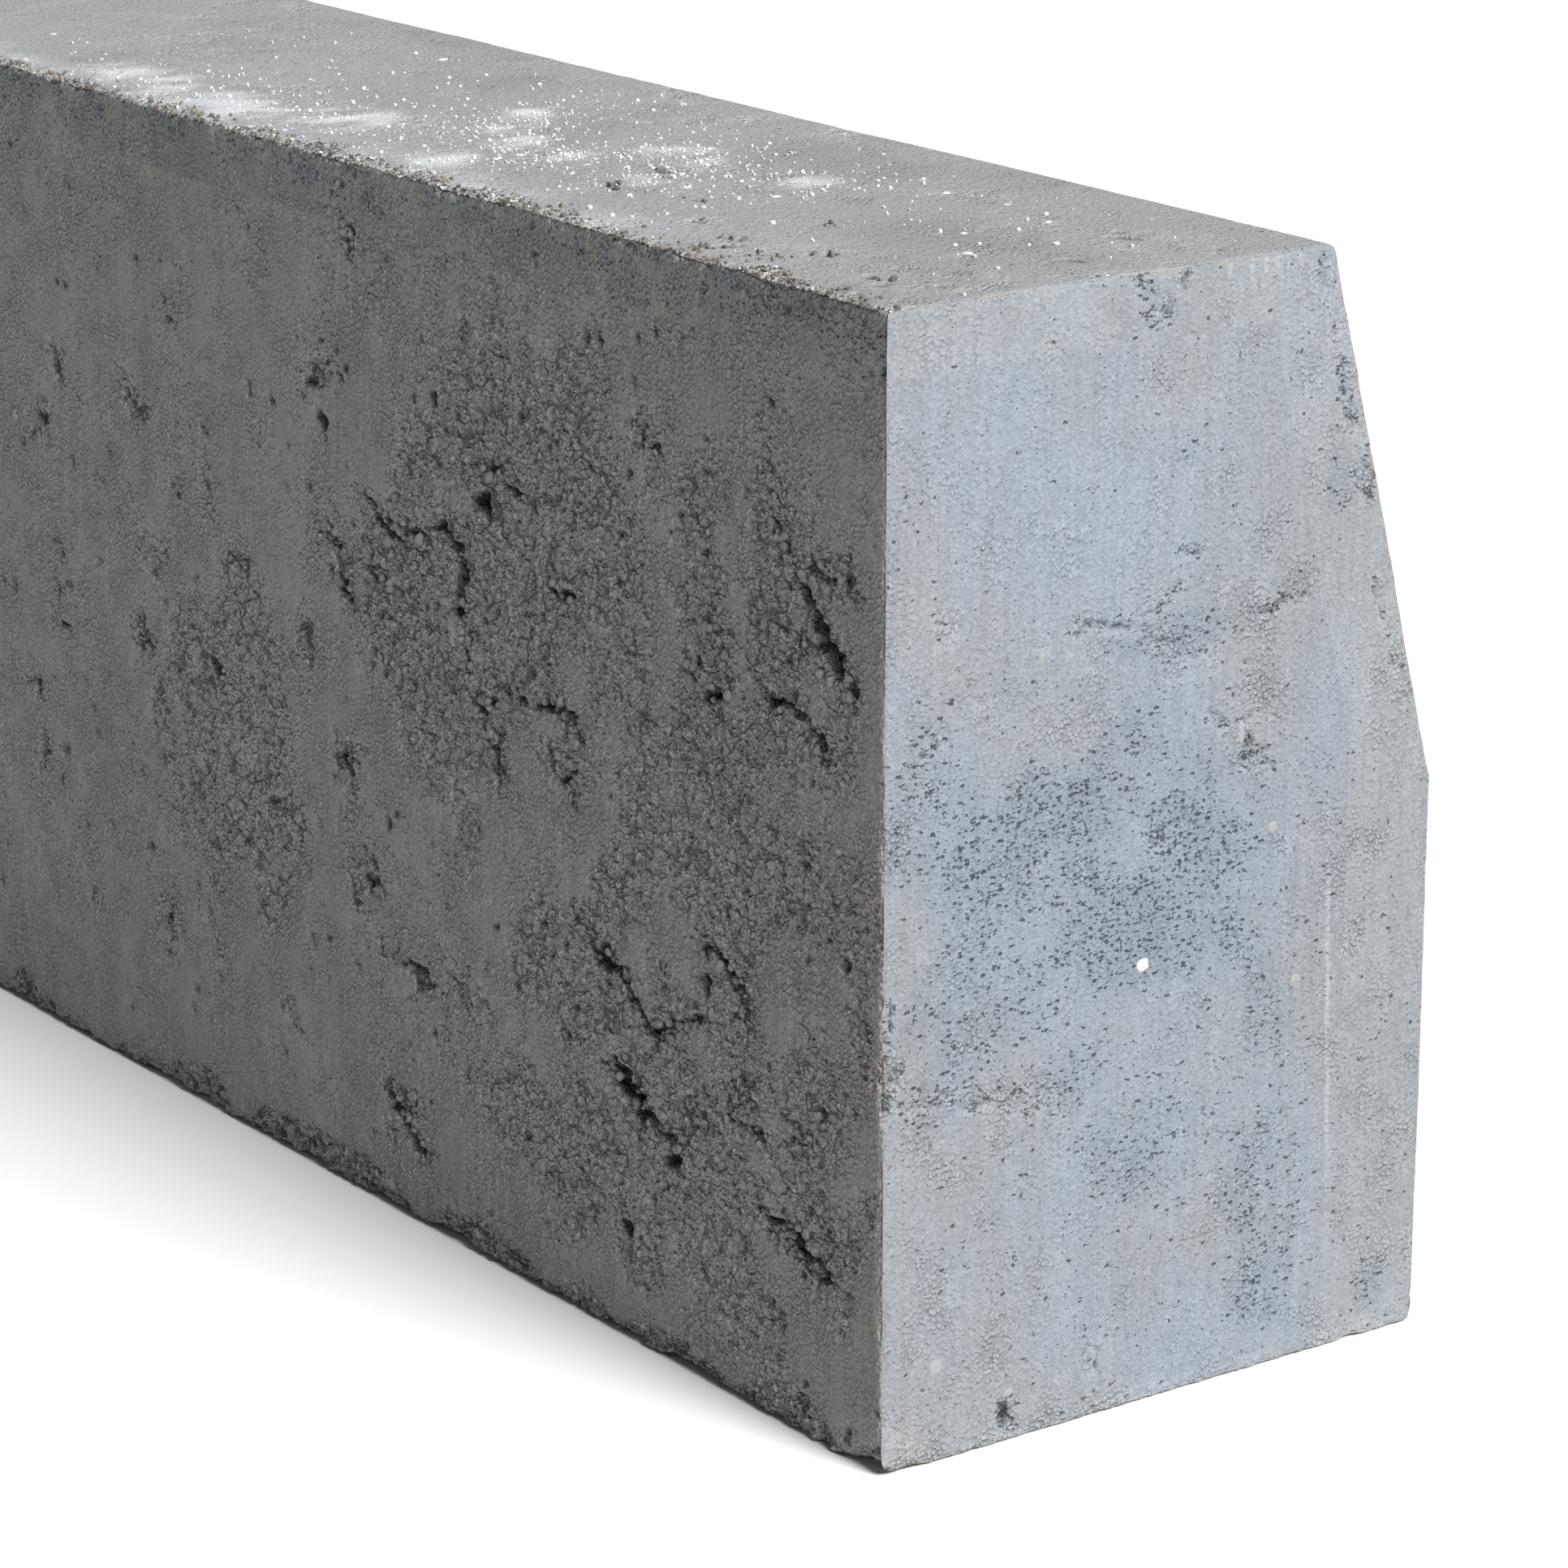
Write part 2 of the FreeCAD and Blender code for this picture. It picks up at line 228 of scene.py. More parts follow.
    def scatter(self, count, radius, depth, where=None):
        """Small separate pits, thicker on the ground where the mask is high."""
        low, high = (self.u[0], self.v[0]), (self.u[-1], self.v[-1])
        for _ in range(count):
            u, v = rng.uniform(low, high)
            size, sink = rng.uniform(*radius), rng.uniform(*depth)
            stretch, lean, chance = rng.uniform(1, 2), rng.uniform(0, math.pi), rng.random()
            if where is None or chance < self.read(where, u, v):
                self.pit(u, v, size, sink, stretch, lean)

    def read(self, values, u, v):
        """Values at places between the map's points."""
        iu = np.clip((np.asarray(u) - self.u[0]) / MAP_STEP, 0, self.shape[0] - 1.001)
        iv = np.clip((np.asarray(v) - self.v[0]) / MAP_STEP, 0, self.shape[1] - 1.001)
        a, b = iu.astype(int), iv.astype(int)
        fa, fb = iu - a, iv - b
        low = values[a, b] * (1 - fa) + values[a + 1, b] * fa
        high = values[a, b + 1] * (1 - fa) + values[a + 1, b + 1] * fa
        return low * (1 - fb) + high * fb

    def coat(self, u, v):
        """At places between the map's points: how far they sink, and then every mark."""
        layers = [self.sink, *(self.marks[name] for name in MARKS)]
        return np.stack([self.read(layer, u, v) for layer in layers], axis=-1)

    def close(self):
        """Adds the pits to the surface and marks their insides, where the material paints shade."""
        self.sink += self.pits
        self.marks["pit_shade"] = np.maximum(self.marks["pit_shade"], smooth(self.pits / 1.2))


TEAR_STEP = 4.0


def random_tear(face, u, v, length, width, depth):
    """A tear of the given length that starts at u, v and wanders downwards."""
    heading = rng.uniform(0, math.pi)
    path = [(u, v)]
    for _ in range(max(2, int(length / TEAR_STEP))):
        heading += rng.normal(0, 0.55)
        u += TEAR_STEP * math.cos(heading)
        v -= TEAR_STEP * abs(math.sin(heading)) * 0.8
        path.append((u, v))
    face.tear(path, width, depth)


def most(*coats):
    """The strongest of several coats at each point."""
    return functools.reduce(np.maximum, coats)


# ---------------------------------------------------------------- the back

# Torn places on the near part of the back: path in X and Z, width, depth. All are
# a little wider and deeper than the paths' own numbers say.
TEAR_WIDER, TEAR_DEEPER = 1.35, 1.25
BACK_TEARS = (
    ([(-458, 206), (-461, 200), (-467, 193)], 1.5, 1.8),
    ([(-467, 193), (-471, 188), (-475, 183), (-480, 177), (-484, 170)], 2.6, 3.6),
    ([(-474, 192), (-480, 190), (-487, 192)], 1.8, 2.4),
    ([(-484, 176), (-488, 170), (-489, 163)], 1.2, 1.6),
    ([(-457, 162), (-463, 161), (-471, 160)], 2.4, 3.6),
    ([(-471, 160), (-476, 156), (-480, 151)], 1.4, 2.0),
    ([(-429, 159), (-437, 157), (-445, 158)], 1.9, 2.6),
    ([(-446, 164), (-440, 170), (-433, 172)], 1.0, 1.0),
    ([(-345, 188), (-351, 190), (-358, 189), (-366, 185)], 1.6, 2.2),
    ([(-283, 163), (-286, 158), (-289, 151), (-293, 144)], 1.8, 2.4),
    ([(-299, 172), (-306, 168), (-313, 165), (-321, 167), (-329, 172)], 1.6, 2.0),
    ([(-329, 172), (-337, 170), (-341, 163), (-339, 155), (-335, 151)], 2.0, 2.8),
    ([(-300, 158), (-306, 153), (-309, 147)], 1.4, 1.6),
    ([(-340, 150), (-343, 142), (-346, 134), (-351, 127), (-357, 119)], 1.3, 1.8),
    ([(-346, 135), (-354, 137), (-362, 139), (-370, 138), (-378, 142), (-386, 139)], 2.0, 2.8),
    ([(-386, 139), (-388, 133), (-384, 127), (-379, 122)], 1.3, 1.6),
    ([(-376, 168), (-381, 166), (-386, 166)], 1.6, 1.6),
    ([(-385, 93), (-391, 90), (-398, 86), (-405, 84)], 2.0, 2.6),
    ([(-405, 84), (-410, 79), (-416, 76), (-424, 78)], 2.0, 3.0),
    ([(-434, 101), (-440, 99), (-446, 96), (-449, 92), (-447, 87)], 1.8, 2.8),
    ([(-424, 78), (-431, 82), (-437, 87)], 1.3, 1.8),
    ([(-399, 64), (-405, 60), (-411, 56), (-417, 53)], 2.2, 3.0),
    ([(-417, 53), (-422, 54), (-423, 48), (-427, 44)], 2.2, 3.0),
    ([(-437, 66), (-445, 63), (-452, 66), (-459, 63)], 1.4, 1.8),
    ([(-462, 71), (-470, 69), (-478, 73), (-486, 77)], 1.4, 1.6),
    ([(-306, 29), (-310, 24), (-315, 20), (-321, 18)], 1.9, 2.2),
    ([(-455, 48), (-461, 46), (-468, 44), (-474, 41)], 1.8, 2.4),
    ([(-474, 41), (-479, 40), (-478, 34)], 2.0, 2.8),
    ([(-292, 236), (-295, 231)], 1.8, 2.0),
    ([(-409, 204), (-413, 207), (-418, 206)], 1.5, 1.4),
    ([(-140, 75), (-136, 70)], 2.6, 2.0),
    ([(-192, 122), (-194, 115)], 2.4, 2.0),
    ([(-226, 118), (-232, 114)], 2.4, 2.2),
    ([(-151, 180), (-156, 176)], 2.2, 1.8),
    ([(-236, 80), (-241, 75)], 2.2, 1.8),
)
# Single holes: X, Z, radius, depth.
BACK_HOLES = (
    (-350, 181, 3.2, 4.2), (-330, 201, 1.7, 2.0), (-408, 199, 1.2, 2.2), (-487, 110, 1.6, 2.4),
    (-405, 26, 2.2, 3.0), (-282, 187, 2.4, 2.0), (-339, 155, 2.4, 3.4), (-422, 47, 2.2, 3.6),
    (-436, 92, 2.2, 3.2), (-129, 161, 1.6, 0.8),
)
# Where the surface has broken up into crumbs: X, Z and half-lengths both ways.
BACK_CRUMBS = (
    (-312, 158, 34, 22), (-470, 182, 22, 26), (-466, 157, 26, 14), (-366, 130, 26, 18),
    (-420, 86, 38, 18), (-438, 64, 42, 22), (-416, 48, 20, 16), (-476, 46, 18, 14),
    (-400, 28, 16, 12), (-316, 24, 20, 13), (-354, 186, 16, 12), (-491, 100, 10, 24),
    (-445, 168, 20, 14), (-382, 166, 14, 8), (-236, 112, 22, 16), (-190, 118, 12, 16),
)
# Where it is only grainy, without coming apart.
BACK_GRAINY = (
    (-445, 135, 75, 85), (-330, 155, 70, 60), (-420, 60, 100, 60), (-375, 190, 60, 40),
    (-240, 100, 60, 70), (-470, 60, 40, 60),
)
# Random tears: long ones over the far part of the back, short ones over the middle.
# How many; the lowest and highest X and Z they start at; and the ranges of their
# length, width and depth, and of the half-lengths of the crumbly place round them.
STRAY_FROM = -115.0
RANDOM_TEARS = (
    (46, (STRAY_FROM, 25), (FAR_X - 12, 225), (8, 26), (2.0, 3.6), (1.6, 3.2), (8, 26), (8, 20), 1.0),
    (16, (-330.0, 40), (STRAY_FROM, 205), (4, 13), (1.6, 2.8), (1.6, 2.8), (6, 14), (6, 14), 0.8),
)


def make_back_map():
    back = FaceMap((NEAR_X, FAR_X), (0.0, TOP_Z))
    crumbs = back.spots(BACK_CRUMBS)
    for path, width, depth in BACK_TEARS:
        back.tear(path, width * TEAR_WIDER, depth * TEAR_DEEPER)
    for u, v, radius, depth in BACK_HOLES:
        back.pit(u, v, radius, depth)
    for count, low, high, lengths, widths, depths, halves_u, halves_v, crumbly in RANDOM_TEARS:
        for _ in range(count):
            u, v = rng.uniform(low, high)
            width, depth = rng.uniform(*widths), rng.uniform(*depths)
            random_tear(back, u, v, rng.uniform(*lengths), width, depth)
            around = back.spot(u, v, rng.uniform(*halves_u), rng.uniform(*halves_v))
            crumbs = most(crumbs, crumbly * around)
    ragged = 0.8 * smooth(crumbs * 0.85 + 0.85 * back.fractal(8.0) - 0.32)
    uneven = back.fractal(13.0, 20.0)
    grainy = 0.30 * smooth(0.6 + 0.8 * uneven)
    grainier = 0.62 * smooth(back.spots(BACK_GRAINY) * 1.5 + 0.9 * uneven - 0.2)
    foot = back.below(9.0 + 5.0 * back.noise(14.0, 300.0))
    ragged = most(ragged, grainy, grainier, foot, np.clip(back.broken, 0, 1))
    back.sink += ragged * 1.15 * (1 - back.crumb)
    nearest, gap = back.cells(COARSE_SAND)
    back.sink += (0.12 + 0.38 * ragged) * (1 - smooth(gap * 2.4) * (1 - 0.35 * nearest ** 2))
    back.scatter(2600, (0.5, 1.1), (0.5, 1.6), 0.06 + 0.94 * ragged)
    back.scatter(700, (0.4, 0.8), (0.4, 0.9))
    under_top = smooth((back.v[None, :] - TOP_Z + 13) / 8) * smooth(back.fractal(5.0, 4.0) + 0.5)
    back.scatter(900, (0.5, 1.0), (0.4, 1.0), under_top)
    # Fine upright lines dragged by the mould, and slow swells of the whole face.
    drag = back.noise(1.3, 26.0) * 0.6 + back.noise(3.4, 60.0) * 0.4
    back.sink += 0.16 + 0.10 * drag * (1 - ragged)
    back.sink += 0.30 * back.fractal(70.0, 60.0, 2) + 0.12 * back.fractal(7.0) + 0.3
    back.marks["rough"] = ragged
    back.marks["speckle"] = 0.7 * under_top
    back.close()
    return back


# ---------------------------------------------------------------- the ends

# Pitted tracks on the near end, where the mix did not close: Y and Z.
END_TEARS = (
    ([(26, 177), (20, 178), (13, 176), (7, 175)], 1.3, 1.2),
    ([(9, 175), (3, 172), (-3, 170), (-12, 167)], 1.2, 1.0),
    ([(5, 177), (1, 181), (-1, 185), (-4, 189), (-8, 190)], 0.9, 0.8),
    ([(-25, 174), (-30, 176), (-36, 174)], 1.3, 1.2),
    ([(61, 186), (58, 182), (60, 178)], 0.8, 0.6),
    ([(57, 172), (52, 169), (49, 165)], 0.8, 0.6),
    ([(-7, 160), (-10, 154), (-15, 150)], 0.9, 0.8),
    ([(72, 104), (74, 96), (73, 88), (74, 80)], 1.6, 1.4),
    ([(20, 16), (16, 13), (15, 9)], 1.4, 1.2),
    ([(42, 9), (40, 5)], 1.8, 1.6),
    ([(9, 247), (5, 242), (2, 238)], 1.3, 0.9),
    ([(-1, 248), (-3, 244)], 1.6, 1.0),
    ([(-38, 245), (-41, 238)], 1.0, 0.8),
    ([(-44, 236), (-46, 222), (-50, 208), (-54, 192)], 0.9, 0.9),
    ([(-58, 176), (-62, 160), (-66, 146)], 0.8, 0.8),
    ([(-20, 160), (-24, 152), (-22, 144), (-28, 138)], 1.0, 0.9),
    ([(62, 160), (66, 152), (61, 146)], 0.9, 0.8),
    ([(52, 80), (45, 77), (38, 79), (31, 75)], 1.2, 1.0),
    ([(70, 83), (62, 80), (57, 83)], 1.3, 1.1),
    ([(12, 134), (4, 128), (-3, 130), (-8, 124)], 1.0, 0.8),
)
# Patches that are speckled with dark pores: Y, Z and half-lengths both ways.
END_SPECKLES = ((24, 130, 56, 32), (-4, 118, 42, 32), (-27, 28, 8, 17))
END_FAINT_SPECKLES = (
    (62, 80, 14, 12), (31, 76, 24, 15), (-2, 172, 24, 7), (4, 62, 30, 18), (-30, 80, 10, 24),
    (-29, 38, 15, 42), (-46, 204, 6, 18), (-32, 176, 8, 6), (4, 241, 6, 6), (60, 140, 24, 24),
    (-62, 12, 8, 10), (50, 100, 30, 20),
)
# Lime that has bloomed white: Y, Z and half-lengths both ways.
END_BLOOM = (
    (35, 215, 60, 42), (10, 120, 70, 60), (-12, 60, 40, 50), (60, 60, 30, 60), (0, 20, 60, 22),
)
# Crumbly, slightly sandy places: Y, Z and half-lengths both ways.
END_CRUMBS = (
    (-26, 150, 8, 14), (-34, 122, 9, 10), (-36, 88, 7, 12), (-8, 166, 16, 8), (-30, 176, 12, 7),
    (17, 14, 14, 10), (72, 90, 6, 22), (70, 8, 14, 12), (36, 74, 8, 8),
)
# Where less lime has bloomed and the sandy grey shows, on both ends.
END_BARE = ((66, 60, 40, 70), (60, 10, 60, 40))
# Lime drips on the near end: Y and length.
END_DRIPS = ((-14, 4), (-20, 7), (-24, 6), (-27, 5), (-33, 4))
# The far end is of the same kind, with patches and tracks of its own.
FAR_CRUMBS = ((-30, 110, 10, 14), (20, 60, 16, 10), (50, 12, 20, 14))
FAR_SPECKLES = ((30, 60, 40, 30), (-20, 130, 34, 30))
FAR_FAINT_SPECKLES = ((20, 190, 40, 22), (-40, 60, 16, 40))
FAR_BLOOM = ((0, 60, 60, 40), (30, 190, 40, 40))
FAR_TEARS = (
    ([(40, 120), (34, 117), (28, 118)], 1.4, 1.2),
    ([(-10, 84), (-16, 80), (-20, 73)], 1.3, 1.1),
    ([(20, 200), (26, 204), (33, 203)], 1.2, 1.0),
)


def make_end_map(tears, speckles, faint_speckles, crumbs, bloom_and_sky_tint):
    end = FaceMap((FRONT_Y, BACK_Y), (0.0, TOP_Z))
    for path, width, depth in tears:
        end.tear(path, width, depth, END_TEAR_HALO)
    dappled = 0.45 * end.fractal(14.0) - 0.08
    speckled = 0.92 * smooth(end.spots(speckles) * 0.95 + dappled)
    faint = 0.55 * smooth(end.spots(faint_speckles) * 1.1 + dappled)
    tracks = 0.9 * smooth(np.clip(end.broken, 0, 1) * 1.3 - 0.25)
    speckled = most(speckled, faint, tracks, 0.2 * end.spot(0, 80, 90, 110))
    end.scatter(500, (0.4, 0.7), (0.25, 0.7), 0.1 + 0.9 * speckled)
    foot = 0.6 * end.below(5.0 + 6.0 * end.noise(12.0))
    crumbly = 0.45 * smooth(end.spots(crumbs) * 0.8 + 0.9 * end.fractal(6.0) - 0.3)
    broken = most(foot, crumbly, np.clip(end.broken, 0, 1))
    end.sink += 0.4 * most(broken, 0.2 * speckled) * (1 - end.crumb)
    end.sink += 0.16 * end.fractal(45.0, 45.0, 2) + 0.07 * end.fractal(5.0) + 0.25
    smears = smooth(end.noise(3.5, 46.0) * 0.9)
    # 0.72 over the whole end is a painted cool tint of the sky light on it, in the bloom colour; the
    # spots, cloud and smears on top of it are lime bloom.
    lime_and_sky_tint = 0.72 + 0.2 * end.spots(bloom_and_sky_tint) + 0.2 * end.fractal(26.0, 38.0) + 0.12 * smears
    lime_and_sky_tint -= 0.42 * end.spots(END_BARE)
    end.marks["bloom_and_sky_tint"] = np.clip(lime_and_sky_tint, 0, 1)
    end.marks["speckle"] = speckled
    end.marks["rough"] = broken
    end.close()
    return end


def streak_near_end(end):
    """Lime drips under the top arris, and the faint pale line between the mixes."""
    for y, length in END_DRIPS:
        drip = end.spot(y, TOP_Z - 2, 0.9, length)
        end.marks["dust"] = most(end.marks["dust"], 0.5 * drip)
    line = end.spot(JOINT_Y + 4, KNEE_Z * 0.6, 1.3, KNEE_Z * 0.6, 0.03)
    end.marks["dust"] = most(end.marks["dust"], 0.38 * line)


# ---------------------------------------------------------------- the top and the road face

# Single holes in the top: X, Y, radius, depth.
TOP_HOLES = (
    (-468, -11, 2.2, 1.6), (-463, -14, 1.2, 1.2), (-481, 13, 2.0, 1.3), (-478, 60, 1.6, 1.4),
    (-470, 57, 1.4, 1.2), (-382, 38, 1.4, 1.4), (-350, 20, 1.2, 1.2), (-402, 52, 1.6, 1.2),
    (-428, 62, 2.0, 1.4), (-438, 64, 2.0, 1.4), (-486, 50, 1.4, 1.0), (-489, -20, 1.2, 0.8),
)
# Lime dust that lies on the top: X, Y and half-lengths both ways.
TOP_DUST = (
    (-333, 9, 16, 14), (-346, 13, 10, 12), (-380, 5, 12, 12), (-308, 55, 13, 12),
    (-281, 20, 11, 15), (-250, 45, 24, 18), (-215, 55, 24, 16), (-170, 55, 26, 16),
    (-300, 30, 11, 12), (-355, 35, 8, 8), (-268, 8, 11, 15), (-322, 30, 9, 10),
)
DUST_SLANT = -0.3
STREWN_FROM = -470  # thin dust lies along the back arris from here on
FRONT_TEARS = 12
# Dark chips of stone that stand out of the top: X and Y.
TOP_CHIPS = (
    (-351, 24), (-359, 45), (-384, 39), (-429, 66), (-425, 58), (-444, 60), (-422, 31),
    (-448, 52), (-475, 57), (-446, 64), (-438, 63), (-402, 52), (-381, 70), (-363, 71),
)


def make_top_map():
    top = FaceMap((NEAR_X, FAR_X), (FRONT_Y, BACK_Y))
    for u, v, radius, depth in TOP_HOLES:
        top.pit(u, v, radius, depth, 1.6, rng.uniform(0, math.pi))
    edge = BACK_Y - top.v[None, :]
    crumbly = smooth((6.0 + 7.0 * top.fractal(12.0) - edge) / 6.0)
    crumbly = most(crumbly, 0.3 * smooth(top.fractal(14.0) * 1.2 - 0.2))
    top.sink += 0.6 * crumbly * (1 - top.crumb)
    near_edge = 0.08 + 0.92 * smooth((16.0 - edge) / 16.0)
    top.scatter(1500, (0.5, 1.2), (0.3, 1.1), np.broadcast_to(near_edge, top.shape))
    top.sink += 0.20 * top.fractal(60.0, 45.0, 2) + 0.09 * top.fractal(5.0) + 0.28
    dust = top.spots([(*place, DUST_SLANT) for place in TOP_DUST])
    strewn = smooth((34.0 - edge) / 30.0) * smooth((top.u[:, None] - STREWN_FROM) / 90.0)
    dust = dust * (0.66 + 0.6 * top.fractal(6.0, 9.0))
    dust += 0.36 * strewn * (1 + 0.7 * top.fractal(16.0))
    top.marks["dust"] = np.clip(dust, 0, 1)
    top.marks["rough"] = crumbly
    # The skin, which also paints the top lighter than the back's painted shade.
    top.marks["skin"] = np.clip(0.95 + 0.25 * top.fractal(30.0), 0, 1)
    top.close()
    return top


def make_front_map():
    """The road face: u along the kerb, v up its outline from the foot."""
    front = FaceMap((NEAR_X, FAR_X), (0.0, OUTLINE_TO_ARC + ARC_LENGTH))
    foot = front.below(7.0 + 4.0 * front.noise(16.0))
    front.sink += 0.5 * foot * (1 - front.crumb)
    front.scatter(1500, (0.5, 1.2), (0.3, 1.0), 0.12 + 0.5 * smooth(front.fractal(30.0)))
    for _ in range(FRONT_TEARS):
        u, v = rng.uniform((NEAR_X + 20, 30), (FAR_X - 20, 220))
        random_tear(front, u, v, rng.uniform(5, 12), 2.4, 1.4)
    front.sink += 0.22 * front.fractal(80.0, 50.0, 2) + 0.08 * front.fractal(5.0) + 0.3
    front.sink += 0.06 * front.noise(1.6, 30.0)
    front.marks["bloom_and_sky_tint"] = 0.5 * smooth(front.fractal(70.0, 40.0) - 0.1)
    front.marks["rough"] = foot
    # The skin, which also paints the road face lighter than the back's painted shade.
    front.marks["skin"] = np.clip(0.8 + 0.3 * front.fractal(30.0), 0, 1)
    front.close()
    return front


# ---------------------------------------------------------------- the outline

BATTER_RISE = TOP_Z - KNEE_Z
BATTER_LENGTH = math.hypot(SETBACK, BATTER_RISE)
BATTER_UP = np.array((SETBACK, BATTER_RISE)) / BATTER_LENGTH
BATTER_OUT = np.array((-BATTER_UP[1], BATTER_UP[0]))
KNEE = np.array((FRONT_Y, KNEE_Z))
ARC_TURN = math.atan2(BATTER_RISE, SETBACK)
TANGENT = ARRIS_RADIUS * math.tan(ARC_TURN / 2)
ARC_START = KNEE + BATTER_UP * (BATTER_LENGTH - TANGENT)
ARC_CENTRE = ARC_START - BATTER_OUT * ARRIS_RADIUS
ARC_LENGTH = ARRIS_RADIUS * ARC_TURN
OUTLINE_TO_ARC = KNEE_Z + BATTER_LENGTH - TANGENT

# The joint between the mixes, from the foot to the back.
SQUARE_IN = KNEE - BATTER_OUT * FACING_UNDER_BATTER
JOINT_KNEE_Z = SQUARE_IN[1] + (JOINT_Y - SQUARE_IN[0]) * BATTER_RISE / SETBACK
JOINT_ARRIS_Y = SQUARE_IN[0] + (JOINT_Z - SQUARE_IN[1]) * SETBACK / BATTER_RISE
JOINT_UNDER_ARC = 2.5


def run(start, stop, step):
    return np.linspace(start, stop, max(1, round(abs(stop - start) / step)) + 1)


def through(stops, step):
    """Evenly spaced values that pass through every stop."""
    runs = [run(a, b, step)[1:] for a, b in zip(stops, stops[1:])]
    return np.concatenate([[stops[0]], *runs])


def outline(front_step, arc_step, top_step):
    """The section's outside from the front foot to the back of the top.

    For each station: the point, its outward normal, the point of the joint that
    it is paired with, its length along the outline, and its share of the top."""
    rows = []

    def add(point, out, inner, length, on_top):
        rows.append((*point, *out, *inner, length, on_top))

    for z in run(0, KNEE_Z, front_step):
        inner = (JOINT_Y, z * JOINT_KNEE_Z / KNEE_Z)
        add((FRONT_Y, z), (-1, 0), inner, z, 0)
    for t in run(0, BATTER_LENGTH - TANGENT, front_step)[1:]:
        share = t / (BATTER_LENGTH - TANGENT)
        inner = (JOINT_Y + share * (JOINT_ARRIS_Y - JOINT_Y),
                 JOINT_KNEE_Z + share * (JOINT_Z - JOINT_KNEE_Z))
        add(KNEE + BATTER_UP * t, BATTER_OUT, inner, KNEE_Z + t, 0)
    for t in run(0, ARC_TURN, arc_step / ARRIS_RADIUS)[1:]:
        share = t / ARC_TURN
        angle = math.atan2(BATTER_OUT[1], BATTER_OUT[0]) - t
        out = np.array((math.cos(angle), math.sin(angle)))
        inner = (JOINT_ARRIS_Y + share * JOINT_UNDER_ARC, JOINT_Z)
        add(ARC_CENTRE + out * ARRIS_RADIUS, out, inner, OUTLINE_TO_ARC + t * ARRIS_RADIUS, share)
    arc_end, inner_start = ARC_CENTRE[0], JOINT_ARRIS_Y + JOINT_UNDER_ARC
    for y in run(arc_end, BACK_Y, top_step)[1:]:
        share = (y - arc_end) / (BACK_Y - arc_end)
        inner = (inner_start + share * (BACK_Y - inner_start), JOINT_Z)
        add((y, TOP_Z), (0, 1), inner, OUTLINE_TO_ARC + ARC_LENGTH, 1)
    return np.array(rows)


# ---------------------------------------------------------------- shells

class Shell:
    """One closed surface, gathered as flat patches that share their borders."""

    def __init__(self):
        self.points, self.moves, self.marks = [], [], []
        self.quads, self.triangles, self.polygons = [], [], []
        self.count = 0

    def grid(self, points, normal, coat):
        """Adds a grid of vertices that sink below their plane, and its quads."""
        rows, columns = points.shape[:2]
        index = np.arange(rows * columns).reshape(rows, columns) + self.count
        self.count += rows * columns
        self.points.append(points.reshape(-1, 3))
        normal = np.broadcast_to(normal, points.shape)
        self.moves.append((-normal * coat[..., :1]).reshape(-1, 3))
        self.marks.append(coat[..., 1:].reshape(-1, len(MARKS)))
        corners = index[:-1, :-1], index[1:, :-1], index[1:, 1:], index[:-1, 1:]
        self.quads.append(np.stack([c.ravel() for c in corners], axis=1))
        return index

    def shares_along(self, row):
        """How far along its row each vertex lies, from 0 to 1."""
        points = np.concatenate(self.points)[row]
        steps = np.linalg.norm(np.diff(points, axis=0), axis=1)
        return np.concatenate([[0], np.cumsum(steps)]) / steps.sum()

    def zip(self, first, second):
        """Joins two rows of vertices of any lengths with triangles."""
        share_first, share_second = self.shares_along(first), self.shares_along(second)
        a, b = 0, 0
        while a < len(first) - 1 or b < len(second) - 1:
            done_a, done_b = a == len(first) - 1, b == len(second) - 1
            if done_b or (not done_a and share_first[a + 1] <= share_second[b + 1]):
                self.triangles.append((first[a], first[a + 1], second[b]))
                a += 1
            else:
                self.triangles.append((first[a], second[b + 1], second[b]))
                b += 1

    def blocks(self, makers):
        """Grids that follow each other along the kerb, zipped together."""
        grids = [make() for make in makers]
        for here, there in zip(grids, grids[1:]):
            self.zip(here[-1], there[0])
        return grids

    def polygon(self, *rows):
        """One flat hidden side, from the rows of vertices round it."""
        self.polygons.append(np.concatenate(rows))

    def mesh(self, name):
        points = np.concatenate(self.points)
        moves = np.concatenate(self.moves)
        marks = np.concatenate(self.marks)
        keys = np.round(points * 1000).astype(np.int64)
        _, first, merged = np.unique(keys, axis=0, return_index=True, return_inverse=True)
        merged = merged.ravel()
        flat = points[first]
        shift = np.zeros_like(flat)
        np.add.at(shift, merged, moves)
        mark = np.zeros((len(flat), len(MARKS)))
        np.maximum.at(mark, merged, marks)
        wear, worn = arris_wear(flat)
        places = (flat + shift + wear) * MM
        faces = [*merged[np.concatenate(self.quads)].tolist(),
                 *merged[np.array(self.triangles)].tolist()]
        for loop in self.polygons:
            corners = merged[loop].tolist()
            faces.append([c for c, following in zip(corners, corners[1:] + corners[:1])
                          if c != following])
        mesh = bpy.data.meshes.new(name)
        mesh.from_pydata(places.tolist(), [], faces)
        mesh.update()
        turn_outwards(mesh)
        for mark_name, values in (*zip(MARKS, mark.T), ("worn", worn)):
            attribute = mesh.attributes.new(mark_name, "FLOAT", "POINT")
            attribute.data.foreach_set("value", values.astype(np.float32))
        mesh.polygons.foreach_set("use_smooth", np.ones(len(mesh.polygons), bool))
        mesh.set_sharp_from_angle(angle=math.radians(62))
        return mesh


def turn_outwards(mesh):
    work = bmesh.new()
    work.from_mesh(mesh)
    bmesh.ops.recalc_face_normals(work, faces=work.faces)
    work.to_mesh(mesh)
    work.free()


# Tables of random values that repeat: how long, how far off their start lies so that
# no place is below it, and the primes that spread places in space over a table.
LINE_TABLE, SPACE_TABLE = 4096, 8192
LINE_START, SPACE_START = 2000.0, 3000.0
SPREAD = (73856093, 19349663, 83492791)


